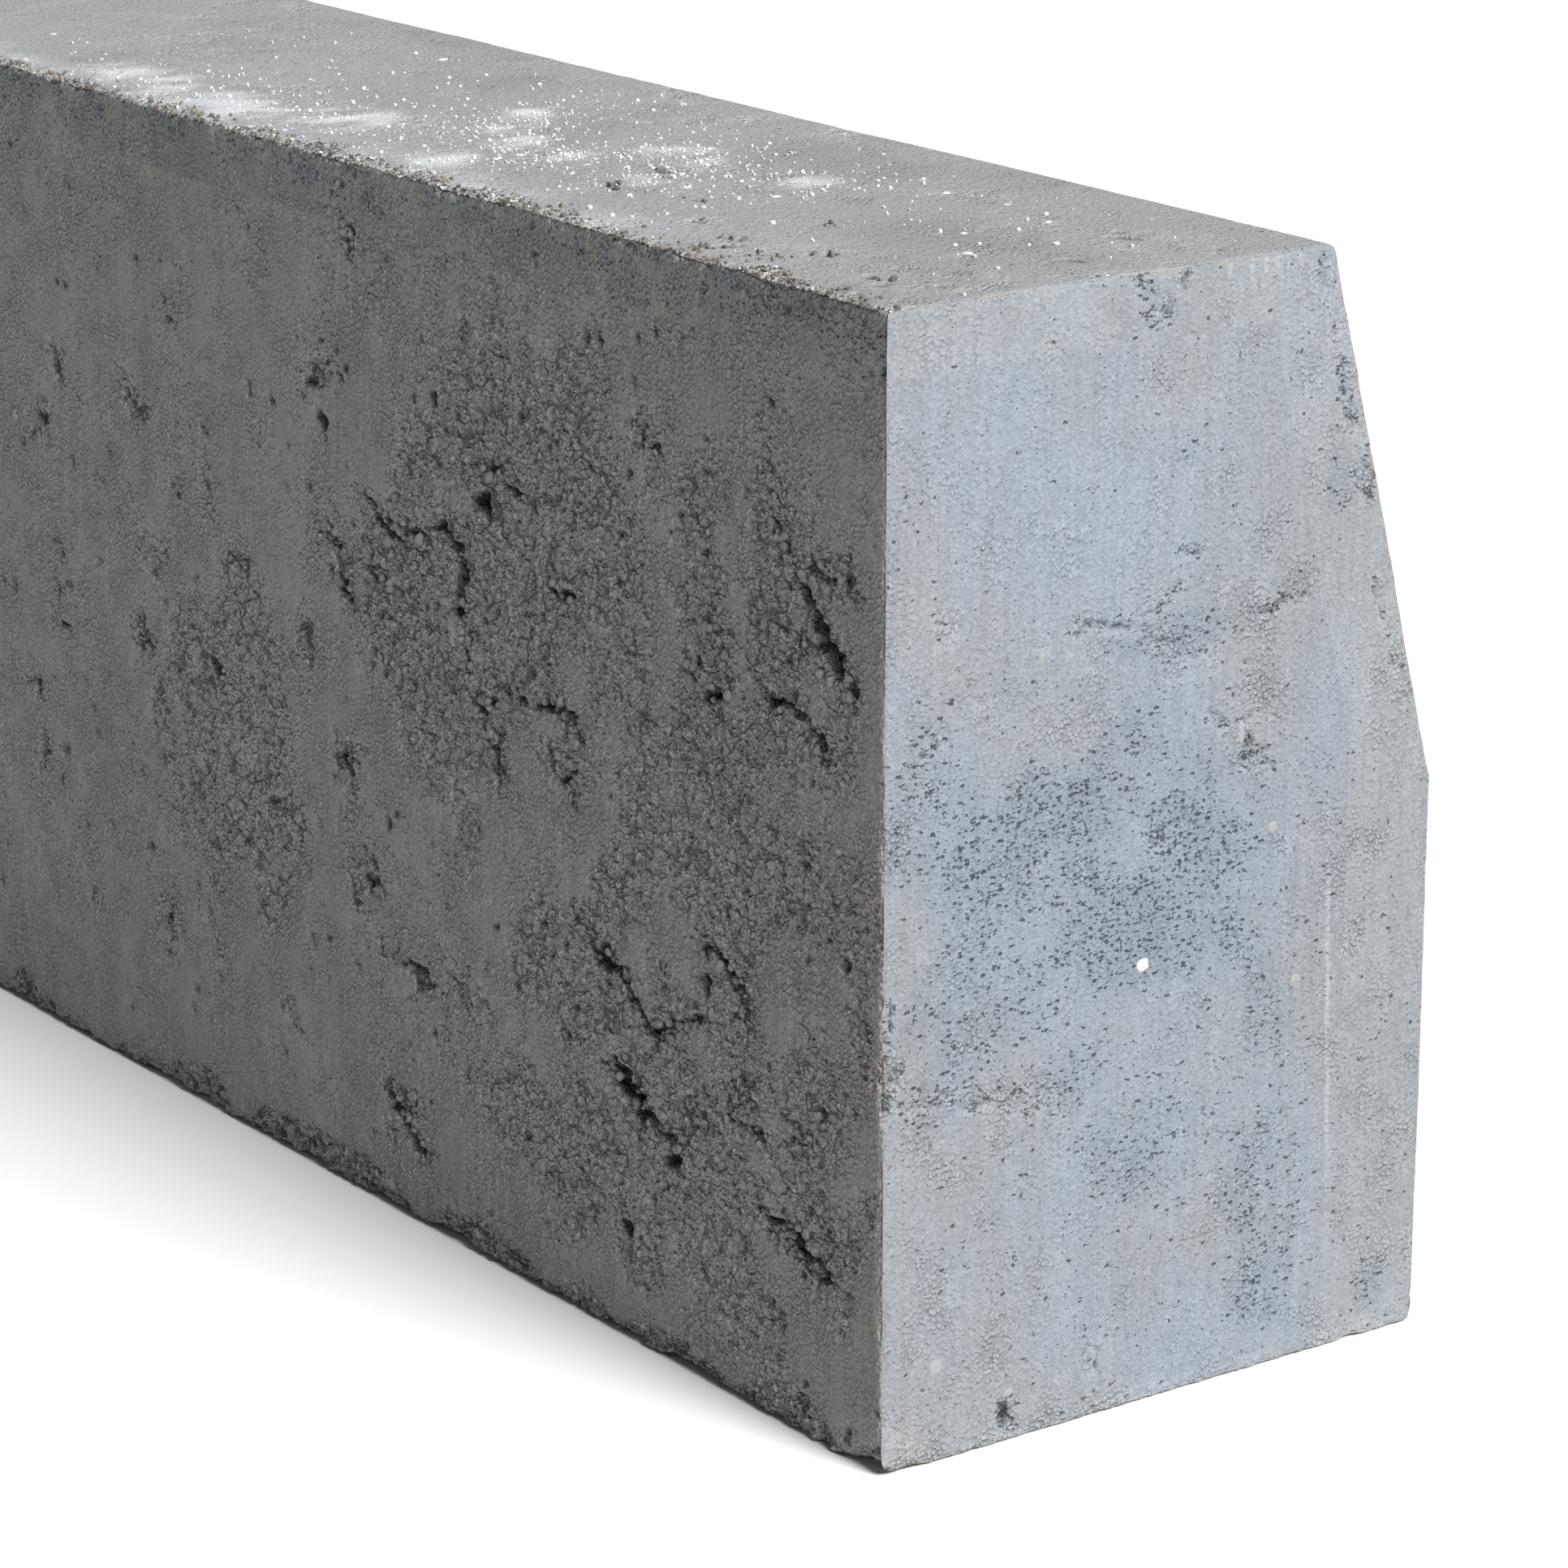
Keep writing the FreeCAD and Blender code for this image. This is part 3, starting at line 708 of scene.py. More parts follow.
def wave(values, cell, seed):
    """Random values from -1 to 1 along a line."""
    table = np.random.default_rng(seed).uniform(-1, 1, LINE_TABLE)
    scaled = (values + LINE_START) / cell
    whole = np.floor(scaled).astype(int)
    eased = smooth(scaled - whole)
    return table[whole % LINE_TABLE] * (1 - eased) + table[(whole + 1) % LINE_TABLE] * eased


def speck(points, cell, seed):
    """Random values from -1 to 1 through space."""
    table = np.random.default_rng(seed).uniform(-1, 1, SPACE_TABLE)
    scaled = points / cell + SPACE_START
    whole = np.floor(scaled).astype(np.int64)
    eased = smooth(scaled - whole)
    total = 0.0
    for corner in np.ndindex(2, 2, 2):
        key = np.bitwise_xor.reduce((whole + corner) * SPREAD, axis=1)
        weight = np.prod(np.where(corner, eased, 1 - eased), axis=1)
        total = total + table[key % SPACE_TABLE] * weight
    return total


# How each arris is worn: width of the worn strip, its depth, and how uneven it
# is, in mm. The chips are places along it, half-lengths and depths.
ARRIS_WEAR = (
    ("top", "back", 3.4, 1.1, 1.3, ((-478, 10, 1.0), (-432, 14, 1.2), (-340, 9, 0.8))),
    ("back", "base", 4.6, 1.2, 1.4, ((-495, 9, 3.0), (-430, 16, 1.5), (-330, 12, 1.2))),
    ("front", "base", 2.2, 0.35, 0.4, ((-280, 12, 2.0), (60, 9, 1.6), (330, 14, 2.2))),
    ("near", "back", 2.2, 0.75, 0.5, ((88, 9, 1.6), (34, 5, 0.8), (140, 6, 0.6))),
    ("near", "top", 2.0, 0.6, 0.5, ((2, 6, 1.1), (-14, 4, 0.9), (46, 5, 0.7))),
    ("near", "base", 1.5, 0.25, 0.25, ((68, 6, 0.8), (-57, 4, 0.6))),
    ("near", "front", 1.0, 0.2, 0.15, ()),
    ("near", "batter", 1.6, 0.45, 0.3, ()),
    ("near", "arc", 2.0, 0.6, 0.3, ()),
    ("far", "back", 2.4, 0.8, 0.6, ((60, 10, 2.0),)),
    ("far", "top", 2.2, 0.7, 0.5, ((20, 7, 1.4),)),
    ("far", "base", 3.6, 0.9, 1.0, ((10, 8, 2.0),)),
    ("far", "front", 2.2, 0.7, 0.5, ((40, 9, 1.8),)),
    ("far", "batter", 2.2, 0.7, 0.5, ()),
    ("far", "arc", 2.2, 0.7, 0.4, ()),
)


def face_distances(points):
    """How deep each point is under each face, and that face's outward normal."""
    x, y, z = points.T
    centre_y, centre_z = ARC_CENTRE
    from_centre = np.stack([y - centre_y, z - centre_z], axis=1)
    radius = np.maximum(np.linalg.norm(from_centre, axis=1), 1e-9)
    on_arc = (y < centre_y) & (from_centre @ BATTER_UP > 0)
    arc_normal = np.stack([0 * x, from_centre[:, 0] / radius, from_centre[:, 1] / radius], axis=1)
    batter = -((points[:, 1:] - KNEE) @ BATTER_OUT)
    far_off = 99.0
    return {
        "near": (x - NEAR_X, (-1, 0, 0)),
        "far": (FAR_X - x, (1, 0, 0)),
        "back": (BACK_Y - y, (0, 1, 0)),
        "base": (z, (0, 0, -1)),
        "top": (np.where(y >= centre_y, TOP_Z - z, far_off), (0, 0, 1)),
        "front": (np.where(z <= KNEE_Z, y - FRONT_Y, far_off), (0, -1, 0)),
        "batter": (np.where((z > KNEE_Z) & ~on_arc, batter, far_off), (0, *BATTER_OUT)),
        "arc": (np.where(on_arc, ARRIS_RADIUS - radius, far_off), arc_normal),
    }


def arris_wear(points):
    """How far each flat point is pulled in where it lies near an arris."""
    faces = face_distances(points)
    wear = np.zeros_like(points)
    worn = np.zeros(len(points))
    crumbs = 0.6 * speck(points, 1.9, 5) + 0.4 * speck(points, 4.5, 6)
    for number, (one, other, reach, depth, uneven, chips) in enumerate(ARRIS_WEAR):
        (distance_one, normal_one), (distance_other, normal_other) = faces[one], faces[other]
        off = np.maximum(distance_one, 0) + np.maximum(distance_other, 0)
        if one not in ("near", "far"):
            along = points[:, 0]
        elif other in ("top", "base"):
            along = points[:, 1]
        else:
            along = points[:, 2]
        amount = depth + uneven * (0.5 * wave(along, 9.0, 60 + number)
                                   + 0.35 * wave(along, 3.1, 80 + number) + 0.5 * crumbs)
        for place, half, deeper in chips:
            amount = amount + deeper * smooth(1.3 * (1 - np.abs(along - place) / half))
        amount = np.maximum(amount, 0.12 * depth)
        strip = reach * (0.8 + 0.5 * np.clip(amount / (depth + uneven), 0, 2))
        near = np.clip(1 - off / strip, 0, 1) ** 2
        wear -= np.add(normal_one, normal_other) * (0.5 * amount * near)[:, None]
        worn = most(worn, near * np.clip(amount / (depth + uneven), 0, 1.5))
    return wear, np.clip(worn, 0, 1)


back_map = make_back_map()
near_map = make_end_map(END_TEARS, END_SPECKLES, END_FAINT_SPECKLES, END_CRUMBS, END_BLOOM)
streak_near_end(near_map)
far_map = make_end_map(FAR_TEARS, FAR_SPECKLES, FAR_FAINT_SPECKLES, FAR_CRUMBS, FAR_BLOOM)
top_map = make_top_map()
front_map = make_front_map()

BLOCKS = (
    (run(NEAR_X, NEAR_UNTIL, FINE), FINE),
    (run(NEAR_UNTIL + MEDIUM, MIDDLE_UNTIL, MEDIUM), MEDIUM),
    (run(MIDDLE_UNTIL + COARSE, FAR_X, COARSE), COARSE),
)


def add_end(shell, points):
    """A cap of the shell: the grid of points at either end face."""
    near = points[0, 0, 0] < 0
    coat = (near_map if near else far_map).coat(points[..., 1], points[..., 2])
    return shell.grid(points, (-1.0, 0.0, 0.0) if near else (1.0, 0.0, 0.0), coat)


def add_back(shell, xs, zs):
    x, z = np.meshgrid(xs, zs, indexing="ij")
    points = np.stack([x, np.full_like(x, BACK_Y), z], axis=-1)
    return shell.grid(points, (0.0, 1.0, 0.0), back_map.coat(x, z))


def add_outside(shell, xs, rows):
    """The road face, the arris and the top, as one grid."""
    y, z, out_y, out_z, _, _, length, on_top = rows.T
    x, y, z, out_y, out_z, length = np.broadcast_arrays(xs[:, None], y, z, out_y, out_z, length)
    blend = smooth(on_top)[:, None]
    coat = (1 - blend) * front_map.coat(x, length) + blend * top_map.coat(x, y)
    normal = np.stack([0 * x, out_y, out_z], axis=-1)
    return shell.grid(np.stack([x, y, z], axis=-1), normal, coat)


def make_backing():
    """The coarse mix: the back, the base and the inside of both ends."""
    shell = Shell()
    heights = {step: through((0, JOINT_KNEE_Z, JOINT_Z), step) for _, step in BLOCKS}

    def cap(x, step):
        zs = heights[step]
        inner = np.interp(zs, (0, JOINT_KNEE_Z, JOINT_Z), (JOINT_Y, JOINT_Y, JOINT_ARRIS_Y))
        shares = run(0, 1, step / (BACK_Y - JOINT_Y))
        ys = inner[:, None] + shares * (BACK_Y - inner)[:, None]
        points = np.stack([np.full_like(ys, x), ys, zs[:, None] + 0 * ys], axis=-1)
        knee = int(np.argmin(np.abs(zs - JOINT_KNEE_Z)))
        return add_end(shell, points), knee

    near, near_knee = cap(NEAR_X, FINE)
    far, far_knee = cap(FAR_X, COARSE)
    back = shell.blocks([
        lambda xs=xs, step=step: add_back(shell, xs, heights[step]) for xs, step in BLOCKS])
    foot = np.concatenate([grid[:, 0] for grid in back])
    head = np.concatenate([grid[:, -1] for grid in back])
    shell.polygon(near[0], foot, far[0][::-1])
    shell.polygon(near[-1], head, far[-1][::-1])
    shell.zip(near[:near_knee + 1, 0], far[:far_knee + 1, 0])
    shell.zip(near[near_knee:, 0], far[far_knee:, 0])
    return shell.mesh("backing_mix")


def make_facing():
    """The fine mix: the road face, the top, and a strip at the top of the back."""
    shell = Shell()
    outlines = {
        FINE: outline(2.0, 1.0, FINE),
        MEDIUM: outline(2.0, 1.4, MEDIUM),
        COARSE: outline(2.5, 1.8, COARSE),
    }
    # The shares of the way from the outside to the joint at which the ends are gridded.
    depths = {FINE: run(0, 1, 1 / 26), MEDIUM: run(0, 1, 1 / 14), COARSE: run(0, 1, 1 / 9)}

    def cap(x, step):
        rows, shares = outlines[step], depths[step]
        outer, inner = rows[:, None, 0:2], rows[:, None, 4:6]
        section = outer + shares[None, :, None] * (inner - outer)
        points = np.concatenate([np.full(section.shape[:2] + (1,), x), section], axis=-1)
        knee = int(np.argmin(np.hypot(*(rows[:, 0:2] - KNEE).T)))
        arc = int(np.argmin(np.hypot(*(rows[:, 0:2] - ARC_START).T)))
        return add_end(shell, points), knee, arc

    near, near_knee, near_arc = cap(NEAR_X, FINE)
    far, far_knee, far_arc = cap(FAR_X, COARSE)
    outside = shell.blocks([
        lambda xs=xs, step=step: add_outside(shell, xs, outlines[step]) for xs, step in BLOCKS])
    strip = shell.blocks([
        lambda xs=xs, step=step: add_back(shell, xs, TOP_Z + depths[step] * (JOINT_Z - TOP_Z))
        for xs, step in BLOCKS])
    foot = np.concatenate([grid[:, 0] for grid in outside])
    under = np.concatenate([grid[:, -1] for grid in strip])
    shell.polygon(near[0][::-1], foot, far[0])
    shell.polygon(near[near_arc:, -1], under, far[far_arc:, -1][::-1])
    shell.zip(near[:near_knee + 1, -1], far[:far_knee + 1, -1])
    shell.zip(near[near_knee:near_arc + 1, -1], far[far_knee:far_arc + 1, -1])
    return shell.mesh("facing_mix")


# ---------------------------------------------------------------- materials

def linear(red, green, blue):
    """A colour given as it looks, 0 to 255, as the shader wants it."""
    def one(value):
        value /= 255
        return value / 12.92 if value <= 0.04045 else ((value + 0.055) / 1.055) ** 2.4
    return one(red), one(green), one(blue), 1.0


class Value:
    """What one socket gives over the surface. Arithmetic on it adds Math nodes."""

    def __init__(self, nodes, socket):
        self.nodes, self.socket = nodes, socket

    def __add__(self, other):
        return self.nodes.math("ADD", self, other)

    def __mul__(self, other):
        return self.nodes.math("MULTIPLY", self, other)

    def __sub__(self, other):
        return self.nodes.math("SUBTRACT", self, other)

    def __rsub__(self, other):
        return self.nodes.math("SUBTRACT", other, self)

    __radd__, __rmul__ = __add__, __mul__


class Nodes:
    """A material's node tree, with short calls for the nodes used here."""

    def __init__(self, name):
        self.material = bpy.data.materials.new(name)
        self.material.use_nodes = True
        self.tree = self.material.node_tree
        self.tree.nodes.clear()
        self.shader = self.add("BsdfPrincipled", {})
        self.add("OutputMaterial", {"Surface": self.shader.outputs[0]})
        self.place = self.add("TexCoord", {}).outputs["Object"]

    def wire(self, value, socket):
        value = value.socket if isinstance(value, Value) else value
        if isinstance(value, bpy.types.NodeSocket):
            self.tree.links.new(value, socket)
        else:
            socket.default_value = value

    def add(self, kind, inputs, **settings):
        """A new node with its settings, and a value or socket for each input."""
        node = self.tree.nodes.new("ShaderNode" + kind)
        for name, setting in settings.items():
            setattr(node, name, setting)
        for which, value in inputs.items():
            self.wire(value, node.inputs[which])
        return node

    def math(self, operation, a, b):
        return Value(self, self.add("Math", {0: a, 1: b}, operation=operation).outputs[0])

    def highest(self, first, *others):
        for other in others:
            first = self.math("MAXIMUM", first, other)
        return first

    def moved(self, stretch, seed):
        """The place on the object, squeezed by stretch and shifted by seed."""
        return self.add("Mapping", {
            "Vector": self.place,
            "Scale": [1 / s for s in stretch],
            "Location": (seed, seed * 0.7, seed * 1.3),
        }).outputs[0]

    def noise(self, size_mm, detail=2.0, stretch=(1, 1, 1), seed=0.0, roughness=0.5):
        """Noise with features about size_mm across, longer where stretch is above 1."""
        node = self.add("TexNoise", {
            "Vector": self.moved(stretch, seed),
            "Scale": 1 / (size_mm * MM),
            "Detail": detail,
            "Roughness": roughness,
        })
        return Value(self, node.outputs["Fac"])

    def cells(self, size_mm, stretch=(1, 1, 1), seed=0.0, warp=0.0, feature="F1"):
        """Many cells about size_mm across, bent out of shape by warp: the distance from
        the middle of each, or to its border, and a random value for each."""
        place = self.moved(stretch, seed)
        if warp:
            bend = self.add("TexNoise", {"Vector": self.place, "Scale": 1.25 / (size_mm * MM)})
            shift = {0: bend.outputs["Color"], 1: (warp * size_mm * MM,) * 3, 2: place}
            place = self.add("VectorMath", shift, operation="MULTIPLY_ADD").outputs[0]
        grid = {"Vector": place, "Scale": 1 / (size_mm * MM)}
        outputs = self.add("TexVoronoi", grid, feature=feature).outputs
        return Value(self, outputs["Distance"]), Value(self, outputs.get("Color"))

    def between(self, value, low, high):
        """0 below low, 1 above high, eased in between."""
        node = self.add(
            "MapRange", {"Value": value, "From Min": low, "From Max": high},
            interpolation_type="SMOOTHSTEP")
        return Value(self, node.outputs["Result"])

    def mark(self, name):
        return Value(self, self.add("Attribute", {}, attribute_name=name).outputs["Fac"])

    def mix(self, share, a, b, blend="MIX"):
        """Colours a and b, which are the Mix node's inputs 6 and 7."""
        inputs = {"Factor": share, 6: a, 7: b}
        node = self.add("Mix", inputs, data_type="RGBA", blend_type=blend)
        return Value(self, node.outputs[2])

    def shade(self, colour, *factors):
        """The colour times each number."""
        for factor in factors:
            grey = self.add("CombineColor", {0: factor, 1: factor, 2: factor})
            colour = self.mix(1.0, colour, grey.outputs[0], "MULTIPLY")
        return colour

    def bump(self, height, distance_mm):
        inputs = {"Strength": 1.0, "Distance": distance_mm * MM, "Height": height}
        return self.add("Bump", inputs).outputs[0]

    def finish(self, colour, roughness, specular, normal=None):
        self.wire(colour, self.shader.inputs["Base Color"])
        self.wire(roughness, self.shader.inputs["Roughness"])
        self.shader.inputs["Specular IOR Level"].default_value = specular
        if normal is not None:
            self.wire(normal, self.shader.inputs["Normal"])
        return self.material


# The grey of the pressed skin on the top and the road face, lighter than the back partly because the
# back is painted with its shade.
SKIN_AND_UNSHADED_GREY = linear(161, 163, 165)
SPECKLED_GREY = linear(106, 119, 128)
PALE_SAND = linear(184, 181, 174)
LIME_WHITE = linear(212, 215, 218)
WORN_SAND = linear(139, 130, 117)


def concrete(name, base, warm, bloom_and_sky_colour, seed):
    """Pressed concrete: sand grain, mottling, lime bloom with a painted cool sky tint, dust, and
    painted shade in hollows, pores, cracks and the gaps between grains.
    """
    n = Nodes(name)
    bloom_and_sky_tint, skin, speckle = n.mark("bloom_and_sky_tint"), n.mark("skin"), n.mark("speckle")
    rough = n.mark("rough") * (1.0 - 0.65 * bloom_and_sky_tint)  # lime evens out what is broken
    sand = n.noise(0.7, 2.0, seed=seed, roughness=0.6)
    clump = n.noise(2.2, 3.0, seed=seed + 1)
    mottle = n.noise(14.0, 4.0, seed=seed + 2)
    cloud = n.noise(70.0, 3.0, seed=seed + 3)
    drag = n.noise(1.5, 2.0, (1, 1, 16), seed + 12)
    grain, _ = n.cells(1.05, seed=seed + 4)
    grain_gap = n.between(grain, 0.28, 0.72)
    crumb, which_crumb = n.cells(2.1, seed=seed + 5, warp=0.9)
    crumb_gap = n.between(crumb, 0.30, 0.75)
    chip, which_chip = n.cells(1.0, (1.0, 1.5, 0.8), seed + 13, warp=1.6)
    clod_edge, _ = n.cells(5.5, seed=seed + 14, warp=1.1, feature="DISTANCE_TO_EDGE")
    # The sand stands out in patches, and most of all where the surface is broken.
    patch = n.noise(11.0, 3.0, seed=seed + 8)
    open_sand = n.between(patch + 0.35 * rough - 0.2 * n.highest(bloom_and_sky_tint, skin), 0.30, 0.72)

    colour = n.mix(n.between(mottle, 0.35, 0.7), base, warm)
    # The skin paints the top and the road face lighter than the back: partly the pressed faces' own
    # closed skin, partly painted shade, as the back's colour is kept darker for the shade it stands
    # in.
    colour = n.mix(0.9 * skin, colour, SKIN_AND_UNSHADED_GREY)
    colour = n.mix(0.35 * rough, colour, warm)
    uneven = n.between(n.noise(6.0, 3.0, (1, 1, 3), seed + 6), -0.3, 0.5)
    colour = n.mix(bloom_and_sky_tint * (1.0 - 0.35 * rough) * uneven, colour, bloom_and_sky_colour)
    # The patches speckled with pores are mixed towards a darker bluish grey.
    colour = n.mix(0.48 * speckle, colour, SPECKLED_GREY)
    # The first factor paints the broken places lighter, a painted highlight on their crumbs that
    # balances the painted shade in their gaps; the second lightens the open sand to balance the
    # painted shade between its grains; the rest is the concrete's own tone.
    colour = n.shade(
        colour, 1.0 + 0.62 * rough, 1.0 + 0.16 * open_sand, 0.87 + 0.26 * drag,
        0.90 + 0.20 * cloud, 0.77 + 0.46 * sand, 0.88 + 0.24 * clump)
    pale_grain, _ = n.cells(2.6, seed=seed + 7)
    colour = n.mix(0.3 * n.between(pale_grain, 0.14, 0.08), colour, PALE_SAND)

    # Fine pores, and coarser gouges where the surface is broken.
    pores = n.noise(0.78, 1.0, (1, 1.6, 0.8), seed + 9)
    pore = n.between(0.20 + 0.16 * clump + 0.11 * speckle - pores, -0.015, 0.03)
    gouges = n.noise(1.45, 1.0, (1, 1.2, 0.9), seed + 11)
    gouge = n.between(0.205 + 0.13 * rough - gouges, -0.02, 0.04)
    # Grains and crumbs that have dropped out, thicker where it is speckled or broken.
    likely = 0.36 * speckle + 0.40 * clump + 0.22 * rough - 0.15
    lost_grain = n.between(likely - which_chip, -0.02, 0.02) * n.between(chip, 0.50, 0.32)
    likely = 0.40 * rough + 0.2 * clump - 0.22
    lost_crumb = n.between(likely - which_crumb, -0.02, 0.02) * n.between(crumb, 0.56, 0.40)
    # Thin cracks round some of the clods that a broken surface comes apart into.
    crack_width = (0.55 * n.noise(4.0, 2.0, seed=seed + 15) - 0.25) * rough
    crack = n.between(crack_width - clod_edge, -0.03, 0.03) * n.between(rough, 0.36, 0.72)
    # Painted shade in the gaps between grains and crumbs, in pores, gouges, the holes of lost grains
    # and crumbs, in cracks and in pits.
    painted_shade = n.highest(
        grain_gap * (0.10 + 0.26 * open_sand), 0.30 * crumb_gap * rough, 0.62 * gouge,
        0.55 * pore, 0.74 * lost_grain, 0.66 * lost_crumb, 0.74 * crack, 0.9 * n.mark("pit_shade"))
    colour = n.shade(colour, 1.0 - painted_shade)

    powder = n.noise(1.1, 3.0, seed=seed + 10, roughness=0.7)
    laid = n.between(0.9 * n.mark("dust") + 0.6 * powder, 0.36, 1.3)
    colour = n.mix(0.86 * laid, colour, LIME_WHITE)
    colour = n.mix(0.5 * n.mark("worn"), colour, WORN_SAND)

    height = 0.5 * sand + 0.5 * clump - grain_gap * (0.12 + 0.65 * open_sand)
    height = height - 1.2 * rough * crumb_gap - 0.4 * pore - 0.9 * lost_grain
    height = height - 1.3 * lost_crumb - 1.8 * crack - 1.3 * gouge
    return n.finish(colour, 0.82 + 0.12 * sand, 0.3, n.bump(height, 0.7))


def stone(name, colour, other, seed):
    n = Nodes(name)
    tone = n.mix(n.between(n.noise(6.0, 3.0, seed=seed), 0.35, 0.65), colour, other)
    tone = n.shade(tone, 0.8 + 0.4 * n.noise(0.6, 2.0, seed=seed + 1))
    return n.finish(tone, 0.7, 0.4, n.bump(n.noise(0.8, 3.0, seed=seed + 2), 0.15))


# Each material's colours and seed. A concrete has its own, a warmer one and its lime bloom colour,
# which on the ends also paints a cool tint of the sky light.
materials = {
    name: make(name, *(linear(*colour) for colour in colours), seed)
    for make, name, colours, seed in (
        (concrete, "backing_concrete", ((134, 134, 134), (136, 134, 131), (136, 144, 152)), 1.0),
        (concrete, "facing_concrete", ((124, 126, 127), (134, 133, 129), (140, 147, 153)), 4.0),
        (stone, "white_pebble", ((214, 208, 200), (202, 194, 186)), 7.0),
        (stone, "river_gravel", ((143, 147, 149), (147, 147, 144)), 8.0),
        (stone, "white_grit", ((216, 218, 220), (204, 206, 208)), 9.0),
        (stone, "dark_chips", ((92, 97, 104), (104, 100, 94)), 12.0),
        (stone, "concrete_crumbs", ((146, 140, 130), (104, 99, 92)), 10.0),
        (stone, "backing_crumbs", ((128, 127, 124), (114, 112, 109)), 11.0),
    )
}


# ---------------------------------------------------------------- pieces

def add_object(name, data):
    thing = bpy.data.objects.new(name, data)
    bpy.context.scene.collection.objects.link(thing)
    return thing


def place_piece(mesh, material, slot, *nodes):
    """Puts a piece named like its mesh in the scene; it stands for the CAD nodes."""
    mesh.materials.append(materials[material])
    piece = add_object(mesh.name, mesh)
    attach(piece, "root")
    if nodes:
        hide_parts(*nodes)


place_piece(make_backing(), "backing_concrete", "backing_mix", "backing_concrete")
place_piece(make_facing(), "facing_concrete", "facing_mix", "facing_concrete")


def rock(subdivisions):
    """The vertices and faces of a unit sphere, which lumpy makes into a stone."""
    work = bmesh.new()
    bmesh.ops.create_icosphere(work, subdivisions=subdivisions, radius=1.0)
    points = np.array([v.co[:] for v in work.verts])
    faces = np.array([[v.index for v in f.verts] for f in work.faces])
    work.free()
    return points, faces


ROUGH_ROCK, ROUND_ROCK, FINE_ROCK = (rock(subdivisions) for subdivisions in (1, 2, 3))


def lumpy(points, amount, cell):
    """Rock vertices pushed in and out along their own direction."""
    somewhere = points + rng.uniform(0, 50, 3)
    swell = 1 + amount * speck(somewhere, cell, 11)
    swell += 0.5 * amount * speck(somewhere, cell / 2.3, 12)
    return points * swell[:, None]


class Heap:
    """Many separate closed stones in one mesh."""

    def __init__(self):
        self.points, self.faces, self.count = [], [], 0

    def add(self, points, faces):
        self.points.append(points)
        self.faces.append(faces + self.count)
        self.count += len(points)

    def mesh(self, name, rounded=True):
        mesh = bpy.data.meshes.new(name)
        points = np.concatenate(self.points) * MM
        mesh.from_pydata(points.tolist(), [], np.concatenate(self.faces).tolist())
        mesh.update()
        mesh.polygons.foreach_set("use_smooth", np.full(len(mesh.polygons), rounded))
        return mesh


def islands(node):
    """The box of each separate stone of a CAD node, in mm: centre and half-sizes."""
    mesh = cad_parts[node].data
    points = np.array([v.co[:] for v in mesh.vertices]) / MM
    keys = np.round(points * 1000).astype(np.int64)
    _, merged = np.unique(keys, axis=0, return_inverse=True)
    merged = merged.ravel()
    label = np.arange(merged.max() + 1)
    edges = merged[np.array([e.vertices[:] for e in mesh.edges])]
    while True:
        low = np.minimum(label[edges[:, 0]], label[edges[:, 1]])
        before = label.copy()
        np.minimum.at(label, edges[:, 0], low)
        np.minimum.at(label, edges[:, 1], low)
        if (label == before).all():
            break
    owner = label[merged]
    boxes = []
    for group in np.unique(owner):
        own = points[owner == group]
        low, high = own.min(axis=0), own.max(axis=0)
        boxes.append(((low + high) / 2, (high - low) / 2))
    return sorted(boxes, key=lambda box: tuple(np.round(box[0], 3)))


# The share of a stone's half-thickness that stands out of the skin, by its slot.
PEEK = {"white_pebble": 0.3, "river_gravel": 0.1, "white_grit": 0.4}
TRIM = 0.03  # how far a stone's cap stays under the ideal plane


def bedded_stones(name, node, face, axis, side, slot):
    """Stones that replace a CAD node: lumpy, and sunk until only a cap shows. They lie
    in the face across an axis; side is the way it looks along that axis."""
    heap = Heap()
    across = [a for a in range(3) if a != axis]
    points, faces = FINE_ROCK
    for centre, half in islands(node):
        skin = centre[axis] + side * (half[axis] - face.read(face.sink, *centre[across]))
        middle = centre.copy()
        middle[axis] = skin - side * half[axis] * (1 - PEEK[slot])
        placed = middle + lumpy(points, 0.16, 0.8) * half
        limit = centre[axis] + side * (half[axis] - TRIM)
        placed[:, axis] = side * np.minimum(side * placed[:, axis], side * limit)
        heap.add(placed, faces)
    place_piece(heap.mesh(name), slot, slot, node)


for bedded in (
    ("white_pebble", "white_end_pebble", near_map, 0, -1, "white_pebble"),
    ("near_end_gravel", "end_face_stones", near_map, 0, -1, "river_gravel"),
    ("far_end_gravel", "far_end_stones", far_map, 0, 1, "river_gravel"),
    ("back_gravel", "back_face_stones", back_map, 1, 1, "river_gravel"),
    ("foot_gravel", "base_edge_stones", back_map, 1, 1, "river_gravel"),
    ("top_grit", "top_face_grit", top_map, 2, 1, "white_grit"),
):
    bedded_stones(*bedded)


def strew(name, count, sizes, spread, lift, material, slot):
    """Loose grains lying on the top, where spread gives their places."""
    heap = Heap()
    points, faces = ROUGH_ROCK
    for _ in range(count):
        x, y = spread()
        if not (NEAR_X + 2 < x < FAR_X - 2 and ARC_CENTRE[0] < y < BACK_Y - 0.6):
            continue
        size = rng.uniform(*sizes) ** 2 / sizes[1] + 0.12
        grain = lumpy(points, 0.5, 0.7) * (size * rng.uniform(0.55, 1.3, 3))
        z = TOP_Z - top_map.read(top_map.sink, x, y) + size * lift
        heap.add(grain + (x, y, z), faces)
    place_piece(heap.mesh(name, rounded=False), material, slot)


CRUMBS_PER_MM = 0.6


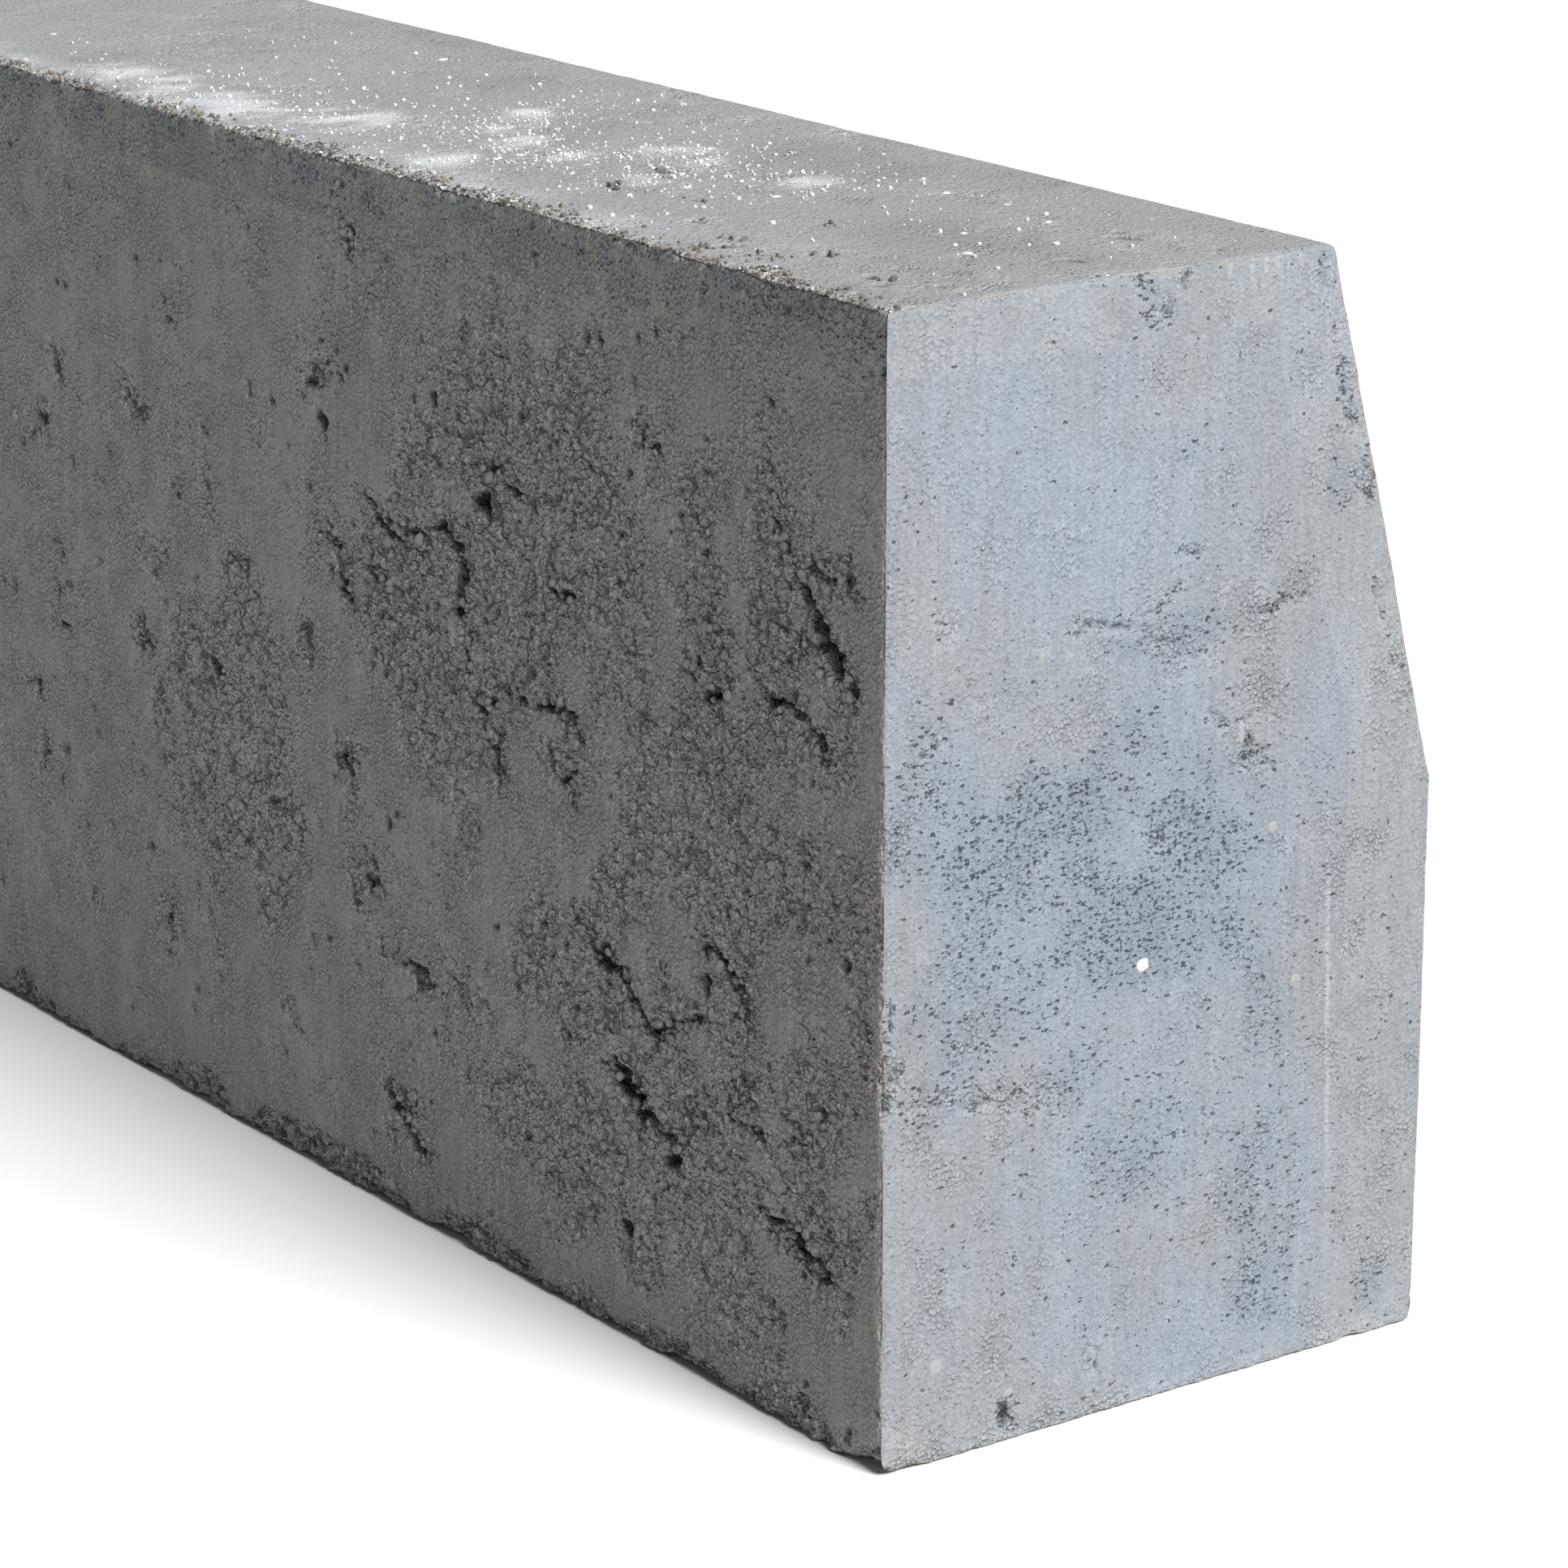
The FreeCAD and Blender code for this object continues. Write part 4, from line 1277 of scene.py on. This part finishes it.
def crumbs_in_tears():
    """Crumbs that stand loose in the torn places of the back."""
    heap = Heap()
    points, faces = ROUND_ROCK
    for path, width, _ in BACK_TEARS:
        path = np.array(path, float)
        for start, end in zip(path[:-1], path[1:]):
            for _ in range(int(np.linalg.norm(end - start) * CRUMBS_PER_MM) + 1):
                size = rng.uniform(0.6, 1.15) ** 2
                x, z = start + (end - start) * rng.random() + rng.normal(0, 1.1 * width, 2)
                crumb = lumpy(points, 0.25, 0.9) * (size * rng.uniform(0.75, 1.15, 3))
                sunk_y = BACK_Y - back_map.read(back_map.sink, x, z) + size * 0.15
                y = min(sunk_y, BACK_Y - 0.3 - size * 0.8)
                heap.add(crumb + (x, y, z), faces)
    place_piece(heap.mesh("tear_crumbs"), "backing_crumbs", "backing_mix")


crumbs_in_tears()


def by_the_back_arris():
    return rng.uniform(NEAR_X, FAR_X), BACK_Y - 0.8 - abs(rng.normal(0, 3.2))


def in_the_dust():
    x, y, half_x, half_y = TOP_DUST[rng.integers(len(TOP_DUST))]
    return x + rng.normal(0, half_x * 0.9), y + rng.normal(0, half_y * 1.1)


def on_the_near_top():
    return rng.uniform(NEAR_X, -120), rng.uniform(-30, BACK_Y)


def by_a_chip():
    x, y = TOP_CHIPS[rng.integers(len(TOP_CHIPS))]
    return x + rng.normal(0, 2.2), y + rng.normal(0, 1.6)


# How many, the range of their sizes, where they lie and the share of a size they stand up.
strew("dark_chips", 90, (0.3, 1.0), by_a_chip, 0.2, "dark_chips", "facing_mix")
strew("arris_crumbs", 2000, (0.15, 0.65), by_the_back_arris, 0.3, "concrete_crumbs", "facing_mix")
strew("lime_grains", 1300, (0.1, 0.4), in_the_dust, 0.3, "white_grit", "white_grit")
strew("stray_grains", 420, (0.1, 0.5), on_the_near_top, 0.3, "white_grit", "white_grit")


# ---------------------------------------------------------------- stage

CAMERA_PLACE = (-1.3453, 0.7085, 0.4707)
CAMERA_FORWARD = (0.7768, -0.5596, -0.2885)
CAMERA_LENS, CAMERA_SENSOR = 125.3, 36.0  # mm
# One broad soft light from the near end's side, high and barely to the front.
SUN_FORWARD = (0.74, 0.03, -0.67)
SUN_COLOUR, SUN_STRENGTH, SUN_SPREAD = (1.0, 0.99, 0.985), 5.6, math.radians(24)
SKY_COLOUR, SKY_STRENGTH = (0.96, 0.98, 1.0, 1.0), 0.13
FLOOR_HALF, FLOOR_Z = 9.0, -0.0005
FLOOR_COLOUR = linear(232, 232, 232)


def aim(thing, forward):
    thing.rotation_mode = "QUATERNION"
    thing.rotation_quaternion = Vector(forward).normalized().to_track_quat("-Z", "Y")


def make_camera():
    data = bpy.data.cameras.new("camera")
    data.sensor_width, data.lens = CAMERA_SENSOR, CAMERA_LENS
    data.clip_start, data.clip_end = 0.05, 60.0
    camera = add_object("camera", data)
    camera.location = CAMERA_PLACE
    aim(camera, CAMERA_FORWARD)
    bpy.context.scene.camera = camera


def make_sun():
    data = bpy.data.lights.new("sun", "SUN")
    data.energy, data.angle, data.color = SUN_STRENGTH, SUN_SPREAD, SUN_COLOUR
    aim(add_object("sun", data), SUN_FORWARD)


def make_floor():
    mesh = bpy.data.meshes.new("floor")
    work = bmesh.new()
    bmesh.ops.create_grid(work, x_segments=8, y_segments=8, size=FLOOR_HALF)
    work.to_mesh(mesh)
    work.free()
    mesh.materials.append(Nodes("floor").finish(FLOOR_COLOUR, 0.9, 0.1))
    floor = add_object("floor", mesh)
    floor.location.z = FLOOR_Z


def make_world():
    world = bpy.data.worlds.new("studio")
    world.use_nodes = True
    sky = world.node_tree.nodes["Background"]
    sky.inputs["Color"].default_value = SKY_COLOUR
    sky.inputs["Strength"].default_value = SKY_STRENGTH
    bpy.context.scene.world = world


make_camera()
make_world()
make_floor()
make_sun()
bpy.context.scene.view_settings.view_transform = "Standard"
